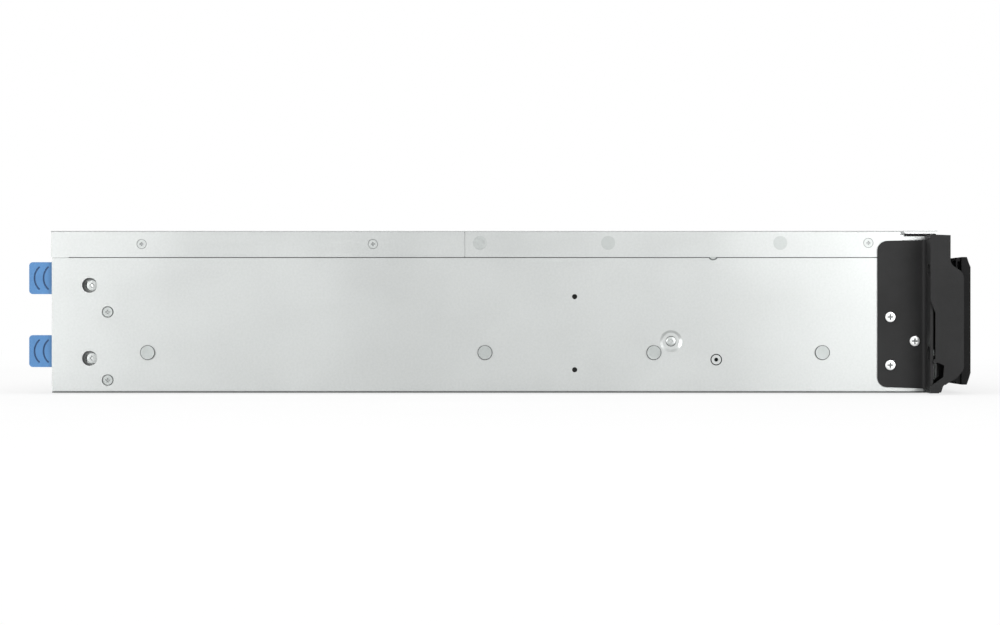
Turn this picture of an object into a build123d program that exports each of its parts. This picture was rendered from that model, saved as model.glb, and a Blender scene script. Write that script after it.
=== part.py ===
from build123d import *
import math
import os

# Rack storage case, seen with its drive bays towards -Y and its modules towards +Y.
# The origin is the centre of the underside, with X across the case and Z up.

# Case
case_width = 438.0
case_height = 88.0
case_depth = 480.8
sheet = 1.2
seat_gap = 0.2
slip_gap = 0.3
pin_gap = 0.1

half_width = case_width / 2
front_y = -case_depth / 2
rear_y = case_depth / 2
wall_inner = half_width - sheet

# Side walls step inwards above the seam, and the cover flanges hang flush outside them
seam_height = 73.2
seam_gap = 0.5
cover_slip = 0.1
lip_width = 3.7
lip_drop = 1.4
upper_outer = wall_inner - cover_slip
upper_inner = upper_outer - sheet
lip_end = upper_outer - lip_width
lip_top = case_height - lip_drop
front_wall_top = 85.8
fold_radius = 0.8
wall_front_y = -232.8
hem_low = 0.45
hem_high = 0.95
hem_depth = 0.6

# Covers
cover_split_y = 16.25
cover_split_gap = 0.3
front_cover_start = -220.3
rear_cover_overhang = 0.7
tight_seam_length = 9.6
tight_seam_gap = 0.15
cover_under = case_height - sheet
front_frame_depth = 18.4
front_frame_sheet = 1.6
front_frame_chamfer = 1.1
frame_overhang = 0.2

# Flush screws in the cover flanges and in the walls, given by their place along Y and Z
cover_screw_spots = [(191.8, 80.8), (66.2, 80.8), (-202.9, 81.4)]
cover_screw_radius = 2.5
wall_screw_spots = [(210.2, 43.9), (210.2, 6.9)]
wall_screw_radius = 3.0
screw_fit = 0.2
shank_radius = 1.4
shank_length = 1.3

# Holes that only the wall beside the power supplies has
access_spots = [(220.05, 58.4), (220.05, 18.75)]
access_radius = 4.1
gauge_spots = [(-43.4, 52.2), (-43.4, 12.5)]
gauge_radius = 1.4
nut_spot = (-120.3, 18.0)
nut_hole_radius = 1.1
seam_hole_spot = (-118.6, 74.9)
seam_hole_radius = 3.0
dish_spot = (-95.7, 28.0)
dish_radius = 6.0
dish_floor_radius = 4.6
dish_depth = 0.6
dish_screw_radius = 2.85
dish_screw_height = 0.5

# Headed studs that the slide rails hook on
stud_height = 21.85
stud_ys = [188.5, 5.3, -86.4, -177.9]
stud_head_radius = 4.0
stud_neck_radius = 2.6
stud_neck = 0.5
stud_head = 0.9

# Drive bays
bay_count = 24
bay_pitch = 17.6
divider = 0.8
cage_plate = 1.0
cage_rear_y = -112.0
cage_top = 86.0
cage_half_width = 213.2
frame_strip_inner = 211.6
cage_inner_top = cage_top - cage_plate
cage_inner_low = sheet + cage_plate
top_web = 1.2

# Drive trays
tray_face_width = 16.6
tray_body_width = bay_pitch - divider - 2 * slip_gap
tray_low = cage_inner_low + slip_gap
tray_high = cage_inner_top - slip_gap
tray_rear_y = -118.0
tray_back_y = front_y - seat_gap
face_front_y = -246.0
face_floor = 3.4
face_cheek = 1.5
face_low = 3.4
face_high = 74.2
face_edge = 1.2
pin_ear_front_y = -251.2
pin_ear_profile = ((0.0, 4.0), (1.0, 7.8), (1.0, 12.0), (0.0, 16.5))
rail_height = 5.9
vent_count = 5
vent_first = 20.0
vent_pitch = 10.0
vent_width = 10.0
vent_height = 3.0

# Drives carried by the trays
drive_length = 100.2
drive_thickness = 15.0
drive_front_y = -222.0
drive_rear_y = drive_front_y + drive_length
drive_chamfer = 1.0

# Tray levers
lever_width = 16.0
lever_front_y = -259.7
lever_back_y = -254.7
lever_low = 4.2
lever_high = 73.9
lever_under = 2.9
lever_knee = (1.2, 2.5)
lever_knee_end = 6.4
lever_brow = (0.8, 3.7)
lever_brow_start = 5.4
lever_over = 3.0
lever_hollow = 2.4
lever_wall = 1.5
lever_rim_y = -251.9
lever_rim_low = 4.6
lever_rim_high = 73.6
lever_rim_sheet = 0.9
lever_window_low = 62.5
lever_window_high = 71.5
lever_pivot_y = -248.6
lever_pivot_z = 8.5
lever_pin_radius = 1.2
lever_lug = 2.7
lever_lug_width = 12.4
lever_tongue_width = 6.0
lever_tongue_low = 56.0
lever_tongue_high = 59.5
lever_tongue_y = -245.0

# Midplane between the drives and the modules
board_rear_y = -107.6
board_thickness = 2.4
board_half_width = 209.0
board_low = sheet + seat_gap
board_high = 83.6
drive_plug_width = 7.0
drive_plug_height = 34.0
air_slot_width = 8.4
air_slot_web = 1.8
socket_low = 12.0
socket_height = 14.0

# Modules behind the midplane
module_height = 38.4
module_low = 2.2
module_pitch = 39.7
module_rear_y = 240.2
module_side = 216.2
shelf_sheet = 0.8
frame_sheet = 1.0
frame_front_y = -84.0
frame_rear_y = 239.4
frame_side_front = 190.0
frame_side_low = 3.6
frame_side_high = 71.6
ceiling_gap = 0.4
ceiling_low = module_low + module_pitch + module_height + ceiling_gap

# Power supplies
supply_width = 54.5
supply_length = 321.5
supply_inner_x = -module_side + supply_width
supply_front_y = module_rear_y - supply_length
supply_wall = 1.0
pocket_depth = 5.7
pocket_front_y = 176.0
pocket_low = 10.7
pocket_high = 30.1
chamber_front_y = 184.0
pocket_floor_x = -module_side + pocket_depth
chamber_low_x = pocket_floor_x + supply_wall
chamber_high_x = supply_inner_x - supply_wall
supply_screw_y = 220.05
supply_screw_z = 16.5
supply_screw_radius = 2.85
supply_screw_height = 3.3
supply_fan_x = (chamber_low_x + chamber_high_x) / 2
supply_edge = 0.5

# Inlet for a mains lead, standing on its short side beside the grille
inlet_width = 20.0
inlet_height = 27.5
inlet_low = 5.4
inlet_margin = 1.2
inlet_depth = 20.0
inlet_wall = 1.4
inlet_edge = 1.0
inlet_flange = 0.8
blade_thick = 2.0
blade_depth = 4.0
blade_recess = 4.0
blade_spread = 6.0
blade_line_x = 7.2
earth_line_x = 12.4

# Grille of the power supply
hex_radius = 2.1
hex_pitch = 4.3
hex_columns = 5
hex_rows = 8
hex_first_x = -206.2
hex_first_z = 6.2

# Handle of the power supply
grip_sheet = 2.0
grip_low = 17.4
grip_high = 23.4
grip_reach = 12.6
grip_start_x = -210.0
grip_end_x = -185.1

# Release latch of the power supply
latch_thickness = 1.3
latch_outer_x = -215.9
latch_low = 22.0
latch_high = 28.4
latch_pivot_y = 184.4
latch_pivot_x = -213.6
latch_eye_radius = 2.2
latch_pin_radius = 1.1
tab_low = 11.7
tab_high = 29.1
tab_thickness = 2.2
tab_start_y = 237.4
tab_end_y = 253.3
tab_corner = 2.0
ear_plate = 1.2
groove_radius = 8.3
groove_width = 0.9
groove_depth = 0.5
groove_pitch = 4.9
groove_height = 12.4
groove_last_y = 250.4
groove_count = 3

# Controllers
controller_low_x = -159.8
controller_high_x = module_side
controller_front_y = -95.0
controller_wall = 1.0
pcb_lift = 4.0
pcb_thickness = 1.6
pcb_margin = 4.0
post_radius = 2.5
post_inset = 9.0
fan_post_y = -60.0
partition_x = -160.7
fan_centres_x = (-60.0, 120.0)
fan_clearance = 19.0
pcb_start_gap = 12.5
supply_socket_width = 30.0
controller_socket_width = 60.0
controller_socket_starts = (-145.0, 0.0)
window_low = 11.0
window_high = 27.0
sink_size = 70.0
sink_height = 16.0
sink_start = (60.0, 70.0)

# Network sockets on a controller
copper_width = 16.4
copper_height = 14.2
copper_count = 2
copper_start_x = -76.0
copper_depth = 22.0
cage_width = 15.0
cage_height = 10.6
cage_count = 4
cage_start_x = -30.0
cage_depth = 48.0
bus_width = 14.4
bus_height = 7.4
bus_start_x = 46.0
bus_depth = 18.0
bus_count = 2
port_wall = 1.0
port_proud = 0.6
slot_vent_count = 28
slot_vent_start = -134.0
slot_vent_pitch = 12.0
slot_vent_width = 9.0
slot_vent_low = 24.5
slot_vent_height = 9.5

# Ejector levers of a controller
ejector_length = 62.0
ejector_thickness = 4.8
ejector_low = 3.2
ejector_high = 10.6
ejector_y = 243.9
ejector_inset = 9.0
ejector_pin_radius = 1.5
ejector_ear = 1.4
ejector_taper = 1.6

# Fan rotors
rotor_radius = 16.0
rotor_hub_radius = 8.0
rotor_depth = 11.0
rotor_bore_radius = 1.5
rotor_blades = 7
blade_sheet = 1.3
blade_tilt = 38.0
blade_chord = 11.5
blade_root = 0.6
fan_pin_radius = 1.4
fan_opening_radius = 16.6
motor_radius = 7.0
spoke_width = 2.0
spoke_root = 0.4

# Rack ears
ear_sheet = 1.2
ear_plate_rear_y = -207.8
ear_plate_low = 3.2
ear_plate_high = 82.4
ear_corner = 5.4
ear_flare_low = 2.4
ear_flare_high = 83.0
ear_bend_y = -233.9
ear_flange = 1.5
ear_flange_low = 2.0
ear_flange_high = 83.2
ear_flange_end = 239.3
ear_screw_spots = [(-214.6, 41.15), (-227.9, 28.1), (-214.6, 15.06)]
ear_screw_radius = 2.85
ear_screw_head = 0.9
rack_hole_spacing = 465.1
rack_slot_heights = (21.85, 66.3)
rack_slot_radius = 3.4
rack_slot_length = 10.0
bend_inner_radius = 2.2

# Moulded ear covers
cover_outer_x = 241.3
cover_inner_x = 221.0
cover_wall = 1.6
cover_front_y = -251.6
cover_rear_y = -233.7
cover_step_y = -244.5
cover_waist_y = -236.35
cover_top = 85.5
shoulder_high = 72.0
shoulder_low = 61.5
chin_high = 14.9
chin_low = 8.0
foot_y = -240.6
foot_high = 4.35
foot_low = 0.2
notch_high = 17.4
waist_high = 43.3
cover_top_fall = 0.4
shoulder_bulge = (3.4, 4.7)
chin_bulge = (2.2, 4.6)
chin_run = 4.5
chin_slope = (0.87, -0.49)
toe = (1.2, 0.5)
heel_high = 4.0
instep_high = 9.0
throat = (0.5, 2.3)
waist_rise = 7.2
cap_front_y = -238.5
hinge_boss_radius = 1.2

# Captive rack screws
rack_head_radius = 5.0
rack_pocket_radius = 5.5
rack_head_front_y = -251.2
rack_head_rear_y = -244.8
rack_shaft_radius = 2.5
rack_shaft_end_y = -236.0
rack_seat_y = -244.5
rack_seat_sheet = 1.6
rack_boss = 12.6
rack_ring_radius = 3.7
rack_ring_sheet = 1.0
drive_recess_radius = 2.2
drive_recess_depth = 1.6

# Power button and status lights on the right ear
button_height = 47.0
button_radius = 4.0
button_gap = 0.25
button_front_y = -252.4
button_flange_radius = 5.2
button_flange = 1.0
light_heights = (34.0, 38.5, 56.5)
light_radius = 1.1
light_length = 4.5

os.makedirs("parts", exist_ok=True)


def keep(builder, name):
    """Label a finished piece and write it to its own file."""
    builder.part.label = name
    export_step(builder.part, f"parts/{name}.step")


def block(low, high, mode=Mode.ADD):
    """A box between two opposite corners."""
    with Locations(tuple(low)):
        Box(*[b - a for a, b in zip(low, high)], align=(Align.MIN,) * 3, mode=mode)


def bar_x(start_x, y, z, radius, length, mode=Mode.ADD):
    """A round bar that runs along +X from its start."""
    with Locations((start_x, y, z)):
        Cylinder(radius, length, rotation=(0, 90, 0), align=(Align.CENTER, Align.CENTER, Align.MIN), mode=mode)


def bar_y(x, start_y, z, radius, length, mode=Mode.ADD):
    """A round bar that runs along +Y from its start."""
    with Locations((x, start_y, z)):
        Cylinder(radius, length, rotation=(-90, 0, 0), align=(Align.CENTER, Align.CENTER, Align.MIN), mode=mode)


def bar_z(x, y, start_z, radius, length, mode=Mode.ADD):
    """A round bar that runs along +Z from its start."""
    with Locations((x, y, start_z)):
        Cylinder(radius, length, align=(Align.CENTER, Align.CENTER, Align.MIN), mode=mode)


# Folded tub: base, side walls with their step, and the lips under the covers
with BuildPart() as tub:
    with BuildSketch(Plane.XZ.offset(-rear_y)) as profile:
        with BuildLine():
            Polyline(
                (0, 0),
                (-half_width, 0),
                (-half_width, seam_height),
                (-upper_outer, seam_height),
                (-upper_outer, lip_top),
                (-lip_end, lip_top),
                (-lip_end, lip_top - sheet),
                (-upper_inner, lip_top - sheet),
                (-upper_inner, seam_height - sheet),
                (-wall_inner, seam_height - sheet),
                (-wall_inner, sheet),
                (0, sheet),
                close=True,
            )
        make_face()
        fillet(profile.vertices().sort_by_distance((-half_width, 0)).first, fold_radius)
        mirror(about=Plane.YZ)
    extrude(amount=case_depth)
    block((-half_width, front_y, front_wall_top), (half_width, front_cover_start, case_height), Mode.SUBTRACT)
    # The walls stop short of the front, and a hem line runs along their lower edge
    for start_x in (-half_width, wall_inner):
        block((start_x, front_y, 0), (start_x + sheet, wall_front_y, case_height), Mode.SUBTRACT)
    for start_x in (-half_width, half_width - hem_depth):
        block((start_x, front_y, hem_low), (start_x + hem_depth, rear_y, hem_high), Mode.SUBTRACT)
    # Screw holes that both walls have
    with BuildSketch(Plane.YZ.offset(-half_width)):
        with Locations(*wall_screw_spots):
            Circle(wall_screw_radius + screw_fit)
        with Locations(*cover_screw_spots, *ear_screw_spots):
            Circle(shank_radius + pin_gap)
    extrude(amount=case_width, mode=Mode.SUBTRACT)
    # Holes of the wall beside the power supplies
    with BuildSketch(Plane.YZ.offset(-half_width)):
        with Locations(*access_spots):
            Circle(access_radius)
        with Locations(*gauge_spots):
            Circle(gauge_radius)
        with Locations(nut_spot):
            Circle(nut_hole_radius)
        with Locations(seam_hole_spot):
            Circle(seam_hole_radius)
    extrude(amount=sheet, mode=Mode.SUBTRACT)
    with Locations((-half_width, *dish_spot)):
        Cone(
            dish_radius,
            dish_floor_radius,
            dish_depth,
            rotation=(0, 90, 0),
            align=(Align.CENTER, Align.CENTER, Align.MIN),
            mode=Mode.SUBTRACT,
        )
keep(tub, "chassis_tub")


def build_cover(name, start_y, end_y):
    """A top cover with a flange down each side, open at its screws."""
    screws = [spot for spot in cover_screw_spots if start_y < spot[0] < end_y]
    with BuildPart() as cover:
        with BuildSketch(Plane.XZ.offset(-end_y)) as profile:
            with BuildLine():
                Polyline(
                    (0, case_height),
                    (-half_width, case_height),
                    (-half_width, seam_height + seam_gap),
                    (-wall_inner, seam_height + seam_gap),
                    (-wall_inner, cover_under),
                    (0, cover_under),
                    close=True,
                )
            make_face()
            fillet(profile.vertices().sort_by_distance((-half_width, case_height)).first, fold_radius)
            mirror(about=Plane.YZ)
        extrude(amount=end_y - start_y)
        if end_y > rear_y:
            for side_x in (-half_width, wall_inner):
                block(
                    (side_x, end_y - tight_seam_length, seam_height + tight_seam_gap),
                    (side_x + sheet, rear_y - seat_gap, seam_height + seam_gap),
                )
        with BuildSketch(Plane.YZ.offset(-half_width)):
            with Locations(*screws):
                Circle(cover_screw_radius + screw_fit)
        extrude(amount=case_width, mode=Mode.SUBTRACT)
    keep(cover, name)


build_cover("rear_cover", cover_split_y + cover_split_gap / 2, rear_y + rear_cover_overhang)
build_cover("front_cover", front_cover_start, cover_split_y - cover_split_gap / 2)

# Flush screws of the covers and walls on both sides, with the raised one in the dish
with BuildPart() as case_screws:
    for spot in cover_screw_spots:
        bar_x(-half_width, *spot, cover_screw_radius, sheet)
        bar_x(-wall_inner, *spot, shank_radius, shank_length)
    for spot in wall_screw_spots:
        bar_x(-half_width, *spot, wall_screw_radius, sheet)
        bar_x(-wall_inner, *spot, shank_radius, shank_length)
    mirror(about=Plane.YZ)
    bar_x(-half_width + dish_depth - dish_screw_height, *dish_spot, dish_screw_radius, dish_screw_height)
keep(case_screws, "case_screws")

# Headed rail studs on both walls
with BuildPart() as rail_studs:
    for stud_y in stud_ys:
        bar_x(-half_width - stud_neck, stud_y, stud_height, stud_neck_radius, stud_neck)
        bar_x(-half_width - stud_neck - stud_head, stud_y, stud_height, stud_head_radius, stud_head)
    mirror(about=Plane.YZ)
keep(rail_studs, "rail_studs")


def bay_centre(number):
    """Middle of a drive bay across the case."""
    return (number - (bay_count + 1) / 2) * bay_pitch


# Drive cage: guide plates, a divider beside every bay, and the frame around the front
with BuildPart() as cage:
    block((-cage_half_width, front_y, sheet), (cage_half_width, cage_rear_y, cage_inner_low))
    block((-cage_half_width, front_y, cage_inner_top), (cage_half_width, cage_rear_y, cage_top))
    for number in range(bay_count + 1):
        divider_x = bay_centre(number) + bay_pitch / 2 - divider / 2
        block((divider_x, front_y, cage_inner_low), (divider_x + divider, cage_rear_y, cage_inner_top))
    web_end = front_y + front_frame_depth - front_frame_chamfer
    block(
        (-lip_end + slip_gap, web_end - top_web, cage_inner_top),
        (lip_end - slip_gap, web_end, case_height),
    )
    with BuildSketch(Plane.YZ.offset(-half_width)) as plate:
        with BuildLine():
            Polyline(
                (front_y, case_height),
                (front_y, case_height - front_frame_sheet),
                (front_y + front_frame_depth - front_frame_chamfer, case_height - front_frame_sheet),
                (front_y + front_frame_depth, case_height - front_frame_sheet + front_frame_chamfer),
                (front_y + front_frame_depth, case_height),
                close=True,
            )
        make_face()
    extrude(amount=case_width)
    for side in (-1, 1):
        strip_x = sorted((side * frame_strip_inner, side * (upper_inner - slip_gap)))
        block((strip_x[0], front_y, sheet), (strip_x[1], front_y + cage_plate, cage_inner_top))
keep(cage, "drive_cage")


def add_lever_profile():
    """Side outline of a tray lever, from its back round its chamfered front."""
    return Polyline(
        (lever_back_y, lever_low),
        (lever_back_y - lever_under, lever_low),
        (lever_front_y + lever_knee[0], lever_low + lever_knee[1]),
        (lever_front_y, lever_low + lever_knee_end),
        (lever_front_y, lever_high - lever_brow_start),
        (lever_front_y + lever_brow[0], lever_high - lever_brow[1]),
        (lever_back_y - lever_over, lever_high),
        (lever_back_y, lever_high),
        close=True,
    )


def add_lever_back():
    """What stands behind the bar of a lever: its open rim, its lug, its pivot pin and its catch tongue."""
    block(
        (-lever_lug_width / 2, lever_back_y, lever_rim_low),
        (lever_lug_width / 2, lever_rim_y, lever_rim_high),
    )
    block(
        (-lever_lug_width / 2 + lever_wall, lever_back_y, lever_rim_low + lever_wall),
        (lever_lug_width / 2 - lever_wall, lever_rim_y, lever_rim_high - lever_wall),
        Mode.SUBTRACT,
    )
    block(
        (-lever_lug_width / 2, lever_back_y, lever_window_low),
        (lever_lug_width / 2, lever_rim_y - lever_rim_sheet, lever_window_high),
        Mode.SUBTRACT,
    )
    block(
        (-lever_lug_width / 2, lever_back_y, lever_pivot_z - lever_lug),
        (lever_lug_width / 2, lever_pivot_y + lever_lug, lever_pivot_z + lever_lug),
    )
    bar_x(-tray_face_width / 2, lever_pivot_y, lever_pivot_z, lever_pin_radius, tray_face_width)
    block(
        (-lever_tongue_width / 2, lever_back_y, lever_tongue_low),
        (lever_tongue_width / 2, lever_tongue_y, lever_tongue_high),
    )


# Tray lever: a chamfered bar in front of the face, hollowed at its back
with BuildPart() as lever:
    with BuildSketch(Plane.YZ.offset(-lever_width / 2)):
        with BuildLine():
            add_lever_profile()
        make_face()
    extrude(amount=lever_width)
    block(
        (-lever_lug_width / 2 + lever_wall, lever_back_y - lever_hollow, lever_pivot_z + 2 * lever_lug),
        (lever_lug_width / 2 - lever_wall, lever_back_y, lever_tongue_low - lever_lug),
        Mode.SUBTRACT,
    )
    add_lever_back()

# Tray: a moulded face with a cheek on each side of its channel, two ears for the pin, and two rails
half_face = tray_face_width / 2
half_channel = half_face - face_cheek
with BuildPart() as tray:
    with BuildSketch(Plane.YZ.offset(-half_face)):
        with BuildLine():
            Polyline(
                (tray_back_y, face_low),
                (face_front_y + face_edge, face_low),
                (face_front_y, face_low + face_edge),
                (face_front_y, tray_high - face_edge),
                (face_front_y + face_edge, tray_high),
                (tray_back_y, tray_high),
                close=True,
            )
        make_face()
    extrude(amount=tray_face_width)
    with BuildSketch(Plane.YZ.offset(-half_face)):
        with BuildLine():
            ear_reach = pin_ear_front_y - face_front_y
            Polyline(*[(face_front_y + share * ear_reach, z) for share, z in pin_ear_profile], close=True)
        make_face()
    extrude(amount=tray_face_width)
    block(
        (-half_channel, pin_ear_front_y, face_low),
        (half_channel, tray_back_y - face_floor, face_high - face_cheek),
        Mode.SUBTRACT,
    )
    for step in range(vent_count):
        vent_z = vent_first + step * vent_pitch
        block(
            (-vent_width / 2, tray_back_y - face_floor, vent_z),
            (vent_width / 2, tray_back_y, vent_z + vent_height),
            Mode.SUBTRACT,
        )
    bar_x(
        -half_face,
        lever_pivot_y,
        lever_pivot_z,
        lever_pin_radius + pin_gap,
        tray_face_width,
        Mode.SUBTRACT,
    )
    for rail_low in (tray_low, tray_high - rail_height):
        block(
            (-tray_body_width / 2, tray_back_y, rail_low),
            (tray_body_width / 2, tray_rear_y, rail_low + rail_height),
        )

# Drive, held on edge between the rails
with BuildPart() as drive:
    block(
        (-drive_thickness / 2, drive_front_y, tray_low + rail_height + seat_gap),
        (drive_thickness / 2, drive_rear_y, tray_high - rail_height - seat_gap),
    )
    chamfer(drive.edges().filter_by(Axis.Z), drive_chamfer)

for bay_number in range(1, bay_count + 1):
    with BuildPart() as bay_tray:
        with Locations((bay_centre(bay_number), 0, 0)):
            add(tray.part)
            add(drive.part)
            if bay_number > 1:
                add(lever.part)
    keep(bay_tray, f"drive_tray_{bay_number:02d}")

with BuildPart() as first_lever:
    with Locations((bay_centre(1), 0, 0)):
        add(lever.part)
keep(first_lever, "tray_lever_01")


# Midplane: a board with a plug for every drive, air slots, and the modules' sockets behind
with BuildPart() as midplane:
    block(
        (-board_half_width, board_rear_y - board_thickness, board_low),
        (board_half_width, board_rear_y, board_high),
    )
    plug_low = (tray_low + tray_high - drive_plug_height) / 2
    for number in range(1, bay_count + 1):
        plug_x = bay_centre(number) - drive_plug_width / 2
        block(
            (plug_x, drive_rear_y + slip_gap, plug_low),
            (plug_x + drive_plug_width, board_rear_y - board_thickness, plug_low + drive_plug_height),
        )
    # Air slots in three rows, below, between and above the sockets of the two levels
    socket_lows = [module_low + level * module_pitch + socket_low for level in range(2)]
    row_lows = [board_low] + [low + socket_height for low in socket_lows]
    row_highs = socket_lows + [board_high]
    for row_low, row_high in zip(row_lows, row_highs):
        for number in range(1, bay_count):
            slot_x = bay_centre(number) + (bay_pitch - air_slot_width) / 2
            block(
                (slot_x, board_rear_y - board_thickness, row_low + air_slot_web),
                (slot_x + air_slot_width, board_rear_y, row_high - air_slot_web),
                Mode.SUBTRACT,
            )
    supply_socket_x = supply_inner_x - (supply_width + supply_socket_width) / 2
    for low in socket_lows:
        block(
            (supply_socket_x, board_rear_y, low),
            (supply_socket_x + supply_socket_width, supply_front_y - slip_gap, low + socket_height),
        )
        for socket_x in controller_socket_starts:
            block(
                (socket_x, board_rear_y, low),
                (socket_x + controller_socket_width, controller_front_y - slip_gap, low + socket_height),
            )
keep(midplane, "midplane_board")

# Module bay frame: shelf, ceiling, partition, and a plate inside each wall
shelf_middle = module_low + module_pitch - (module_pitch - module_height) / 2
with BuildPart() as bay_frame:
    frame_half = wall_inner - seat_gap
    ceiling_half = upper_inner - seat_gap
    shelf_low = shelf_middle - shelf_sheet / 2
    for low, half in ((sheet, frame_half), (shelf_low, frame_half), (ceiling_low, ceiling_half)):
        block((-half, frame_front_y, low), (half, frame_rear_y, low + shelf_sheet))
    block(
        (partition_x - frame_sheet / 2, frame_front_y, sheet),
        (partition_x + frame_sheet / 2, frame_rear_y, ceiling_low),
    )
    # The ceiling is folded up at the rear to close the gap under the cover
    block(
        (-lip_end + slip_gap, frame_rear_y - frame_sheet, ceiling_low),
        (lip_end - slip_gap, frame_rear_y, cover_under - seat_gap),
    )
    for side in (-1, 1):
        plate = sorted((side * frame_half, side * (frame_half - frame_sheet + seat_gap)))
        block((plate[0], frame_side_front, frame_side_low), (plate[1], frame_rear_y, frame_side_high))
        strip = sorted((side * (frame_half - frame_sheet + seat_gap), side * (half_width - seat_gap)))
        block(
            (strip[0], rear_y, frame_side_low),
            (strip[1], rear_y + frame_overhang, frame_side_high),
        )
        block((plate[0], frame_rear_y, frame_side_low), (plate[1], rear_y, frame_side_high))
    for plane_x in (-half_width, module_side):
        with BuildSketch(Plane.YZ.offset(plane_x)):
            with Locations(*wall_screw_spots):
                Circle(shank_radius + pin_gap)
        extrude(amount=half_width - module_side, mode=Mode.SUBTRACT)
    with BuildSketch(Plane.YZ.offset(-half_width)):
        with Locations(*access_spots):
            Circle(access_radius)
    extrude(amount=half_width - module_side, mode=Mode.SUBTRACT)
keep(bay_frame, "module_bay_frame")

# Fan rotor on its own axis: a hub with tilted blades round it
with BuildPart() as rotor:
    Cylinder(rotor_hub_radius, rotor_depth)
    blade_reach = rotor_radius - rotor_hub_radius + blade_root
    with PolarLocations(rotor_radius - blade_reach / 2, rotor_blades):
        Box(blade_reach, blade_sheet, blade_chord, rotation=(blade_tilt, 0, 0))
    Cylinder(rotor_bore_radius, rotor_depth, mode=Mode.SUBTRACT)


def add_rotor(name, centre_x, wall_y, centre_z):
    """Place a rotor behind the wall that carries its motor, on an axis along Y."""
    with BuildPart() as placed:
        with Locations(Location((centre_x, wall_y + slip_gap + rotor_depth / 2, centre_z), (-90, 0, 0))):
            add(rotor.part)
    keep(placed, name)


def add_motor(centre_x, wall_y, centre_z, wall):
    """Air opening in a wall, with the spokes, the motor plate and the pin that carries a rotor."""
    bar_y(centre_x, wall_y - wall, centre_z, fan_opening_radius, wall, Mode.SUBTRACT)
    bar_y(centre_x, wall_y - wall, centre_z, motor_radius, wall)
    reach = fan_opening_radius + spoke_root
    block(
        (centre_x - reach, wall_y - wall, centre_z - spoke_width / 2),
        (centre_x + reach, wall_y, centre_z + spoke_width / 2),
    )
    block(
        (centre_x - spoke_width / 2, wall_y - wall, centre_z - reach),
        (centre_x + spoke_width / 2, wall_y, centre_z + reach),
    )
    bar_y(centre_x, wall_y, centre_z, fan_pin_radius, rotor_depth)


# Power supply at the lower level, placed by the level's height afterwards
with BuildPart() as supply:
    block((-module_side, supply_front_y, 0), (supply_inner_x, module_rear_y, module_height))
    chamfer(supply.edges().filter_by(Axis.Y), supply_edge)
    block(
        (-module_side, pocket_front_y, pocket_low),
        (pocket_floor_x, module_rear_y, pocket_high),
        Mode.SUBTRACT,
    )
    block(
        (chamber_low_x, chamber_front_y, supply_wall),
        (chamber_high_x, module_rear_y - supply_wall, module_height - supply_wall),
        Mode.SUBTRACT,
    )
    # Motor plate and pin of the fan, on the wall of the chamber
    bar_y(supply_fan_x, chamber_front_y, module_height / 2, fan_pin_radius, rotor_depth)
    # Honeycomb grille
    with BuildSketch(Plane.XZ.offset(-module_rear_y)):
        for row in range(hex_rows):
            shift = hex_pitch / 2 * (row % 2)
            with Locations((hex_first_x + shift, hex_first_z + row * hex_pitch * math.sin(math.radians(60)))):
                for column in range(hex_columns - row % 2):
                    with Locations((column * hex_pitch, 0)):
                        RegularPolygon(hex_radius, 6, rotation=30)
    extrude(amount=supply_wall, mode=Mode.SUBTRACT)
    # Cut-out for the inlet
    inlet_x = chamber_high_x - inlet_margin - inlet_width
    block(
        (inlet_x - pin_gap, module_rear_y - supply_wall, inlet_low - pin_gap),
        (inlet_x + inlet_width + pin_gap, module_rear_y, inlet_low + inlet_height + pin_gap),
        Mode.SUBTRACT,
    )
    # Blind hole behind the gauge hole in the wall
    gauge_y, gauge_z = gauge_spots[-1]
    bar_x(-module_side, gauge_y, gauge_z - module_low, gauge_radius + pin_gap, pocket_depth, Mode.SUBTRACT)
    # Screw head that shows through the access hole in the wall
    bar_x(
        pocket_floor_x - supply_screw_height,
        supply_screw_y,
        supply_screw_z,
        supply_screw_radius,
        supply_screw_height,
    )
    # Ears and pin that carry the latch
    for ear_low in (latch_low - seat_gap - ear_plate, latch_high + seat_gap):
        block(
            (latch_outer_x + pin_gap, latch_pivot_y - latch_eye_radius, ear_low),
            (pocket_floor_x, latch_pivot_y + latch_eye_radius, ear_low + ear_plate),
        )
    latch_pin_length = latch_high - latch_low + 2 * ear_plate
    bar_z(latch_pivot_x, latch_pivot_y, latch_low - ear_plate, latch_pin_radius, latch_pin_length)

# Inlet: a housing with its three blades, and a flange outside the rear wall
inlet_top = inlet_low + inlet_height
with BuildPart() as inlet:
    block(
        (inlet_x, module_rear_y - inlet_depth, inlet_low),
        (inlet_x + inlet_width, module_rear_y + inlet_flange, inlet_top),
    )
    block(
        (inlet_x - inlet_edge, module_rear_y + pin_gap, inlet_low - inlet_edge),
        (inlet_x + inlet_width + inlet_edge, module_rear_y + inlet_flange, inlet_top + inlet_edge),
    )
    block(
        (inlet_x + inlet_wall, module_rear_y - inlet_depth + inlet_wall, inlet_low + inlet_wall),
        (inlet_x + inlet_width - inlet_wall, module_rear_y + inlet_flange, inlet_top - inlet_wall),
        Mode.SUBTRACT,
    )
    inlet_middle = inlet_low + inlet_height / 2
    for blade_x, blade_z in ((blade_line_x, -blade_spread), (blade_line_x, blade_spread), (earth_line_x, 0)):
        centre_x = inlet_x + blade_x
        blade_middle = inlet_middle + blade_z
        block(
            (centre_x - blade_depth / 2, module_rear_y - inlet_depth, blade_middle - blade_thick / 2),
            (centre_x + blade_depth / 2, module_rear_y - blade_recess, blade_middle + blade_thick / 2),
        )

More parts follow.
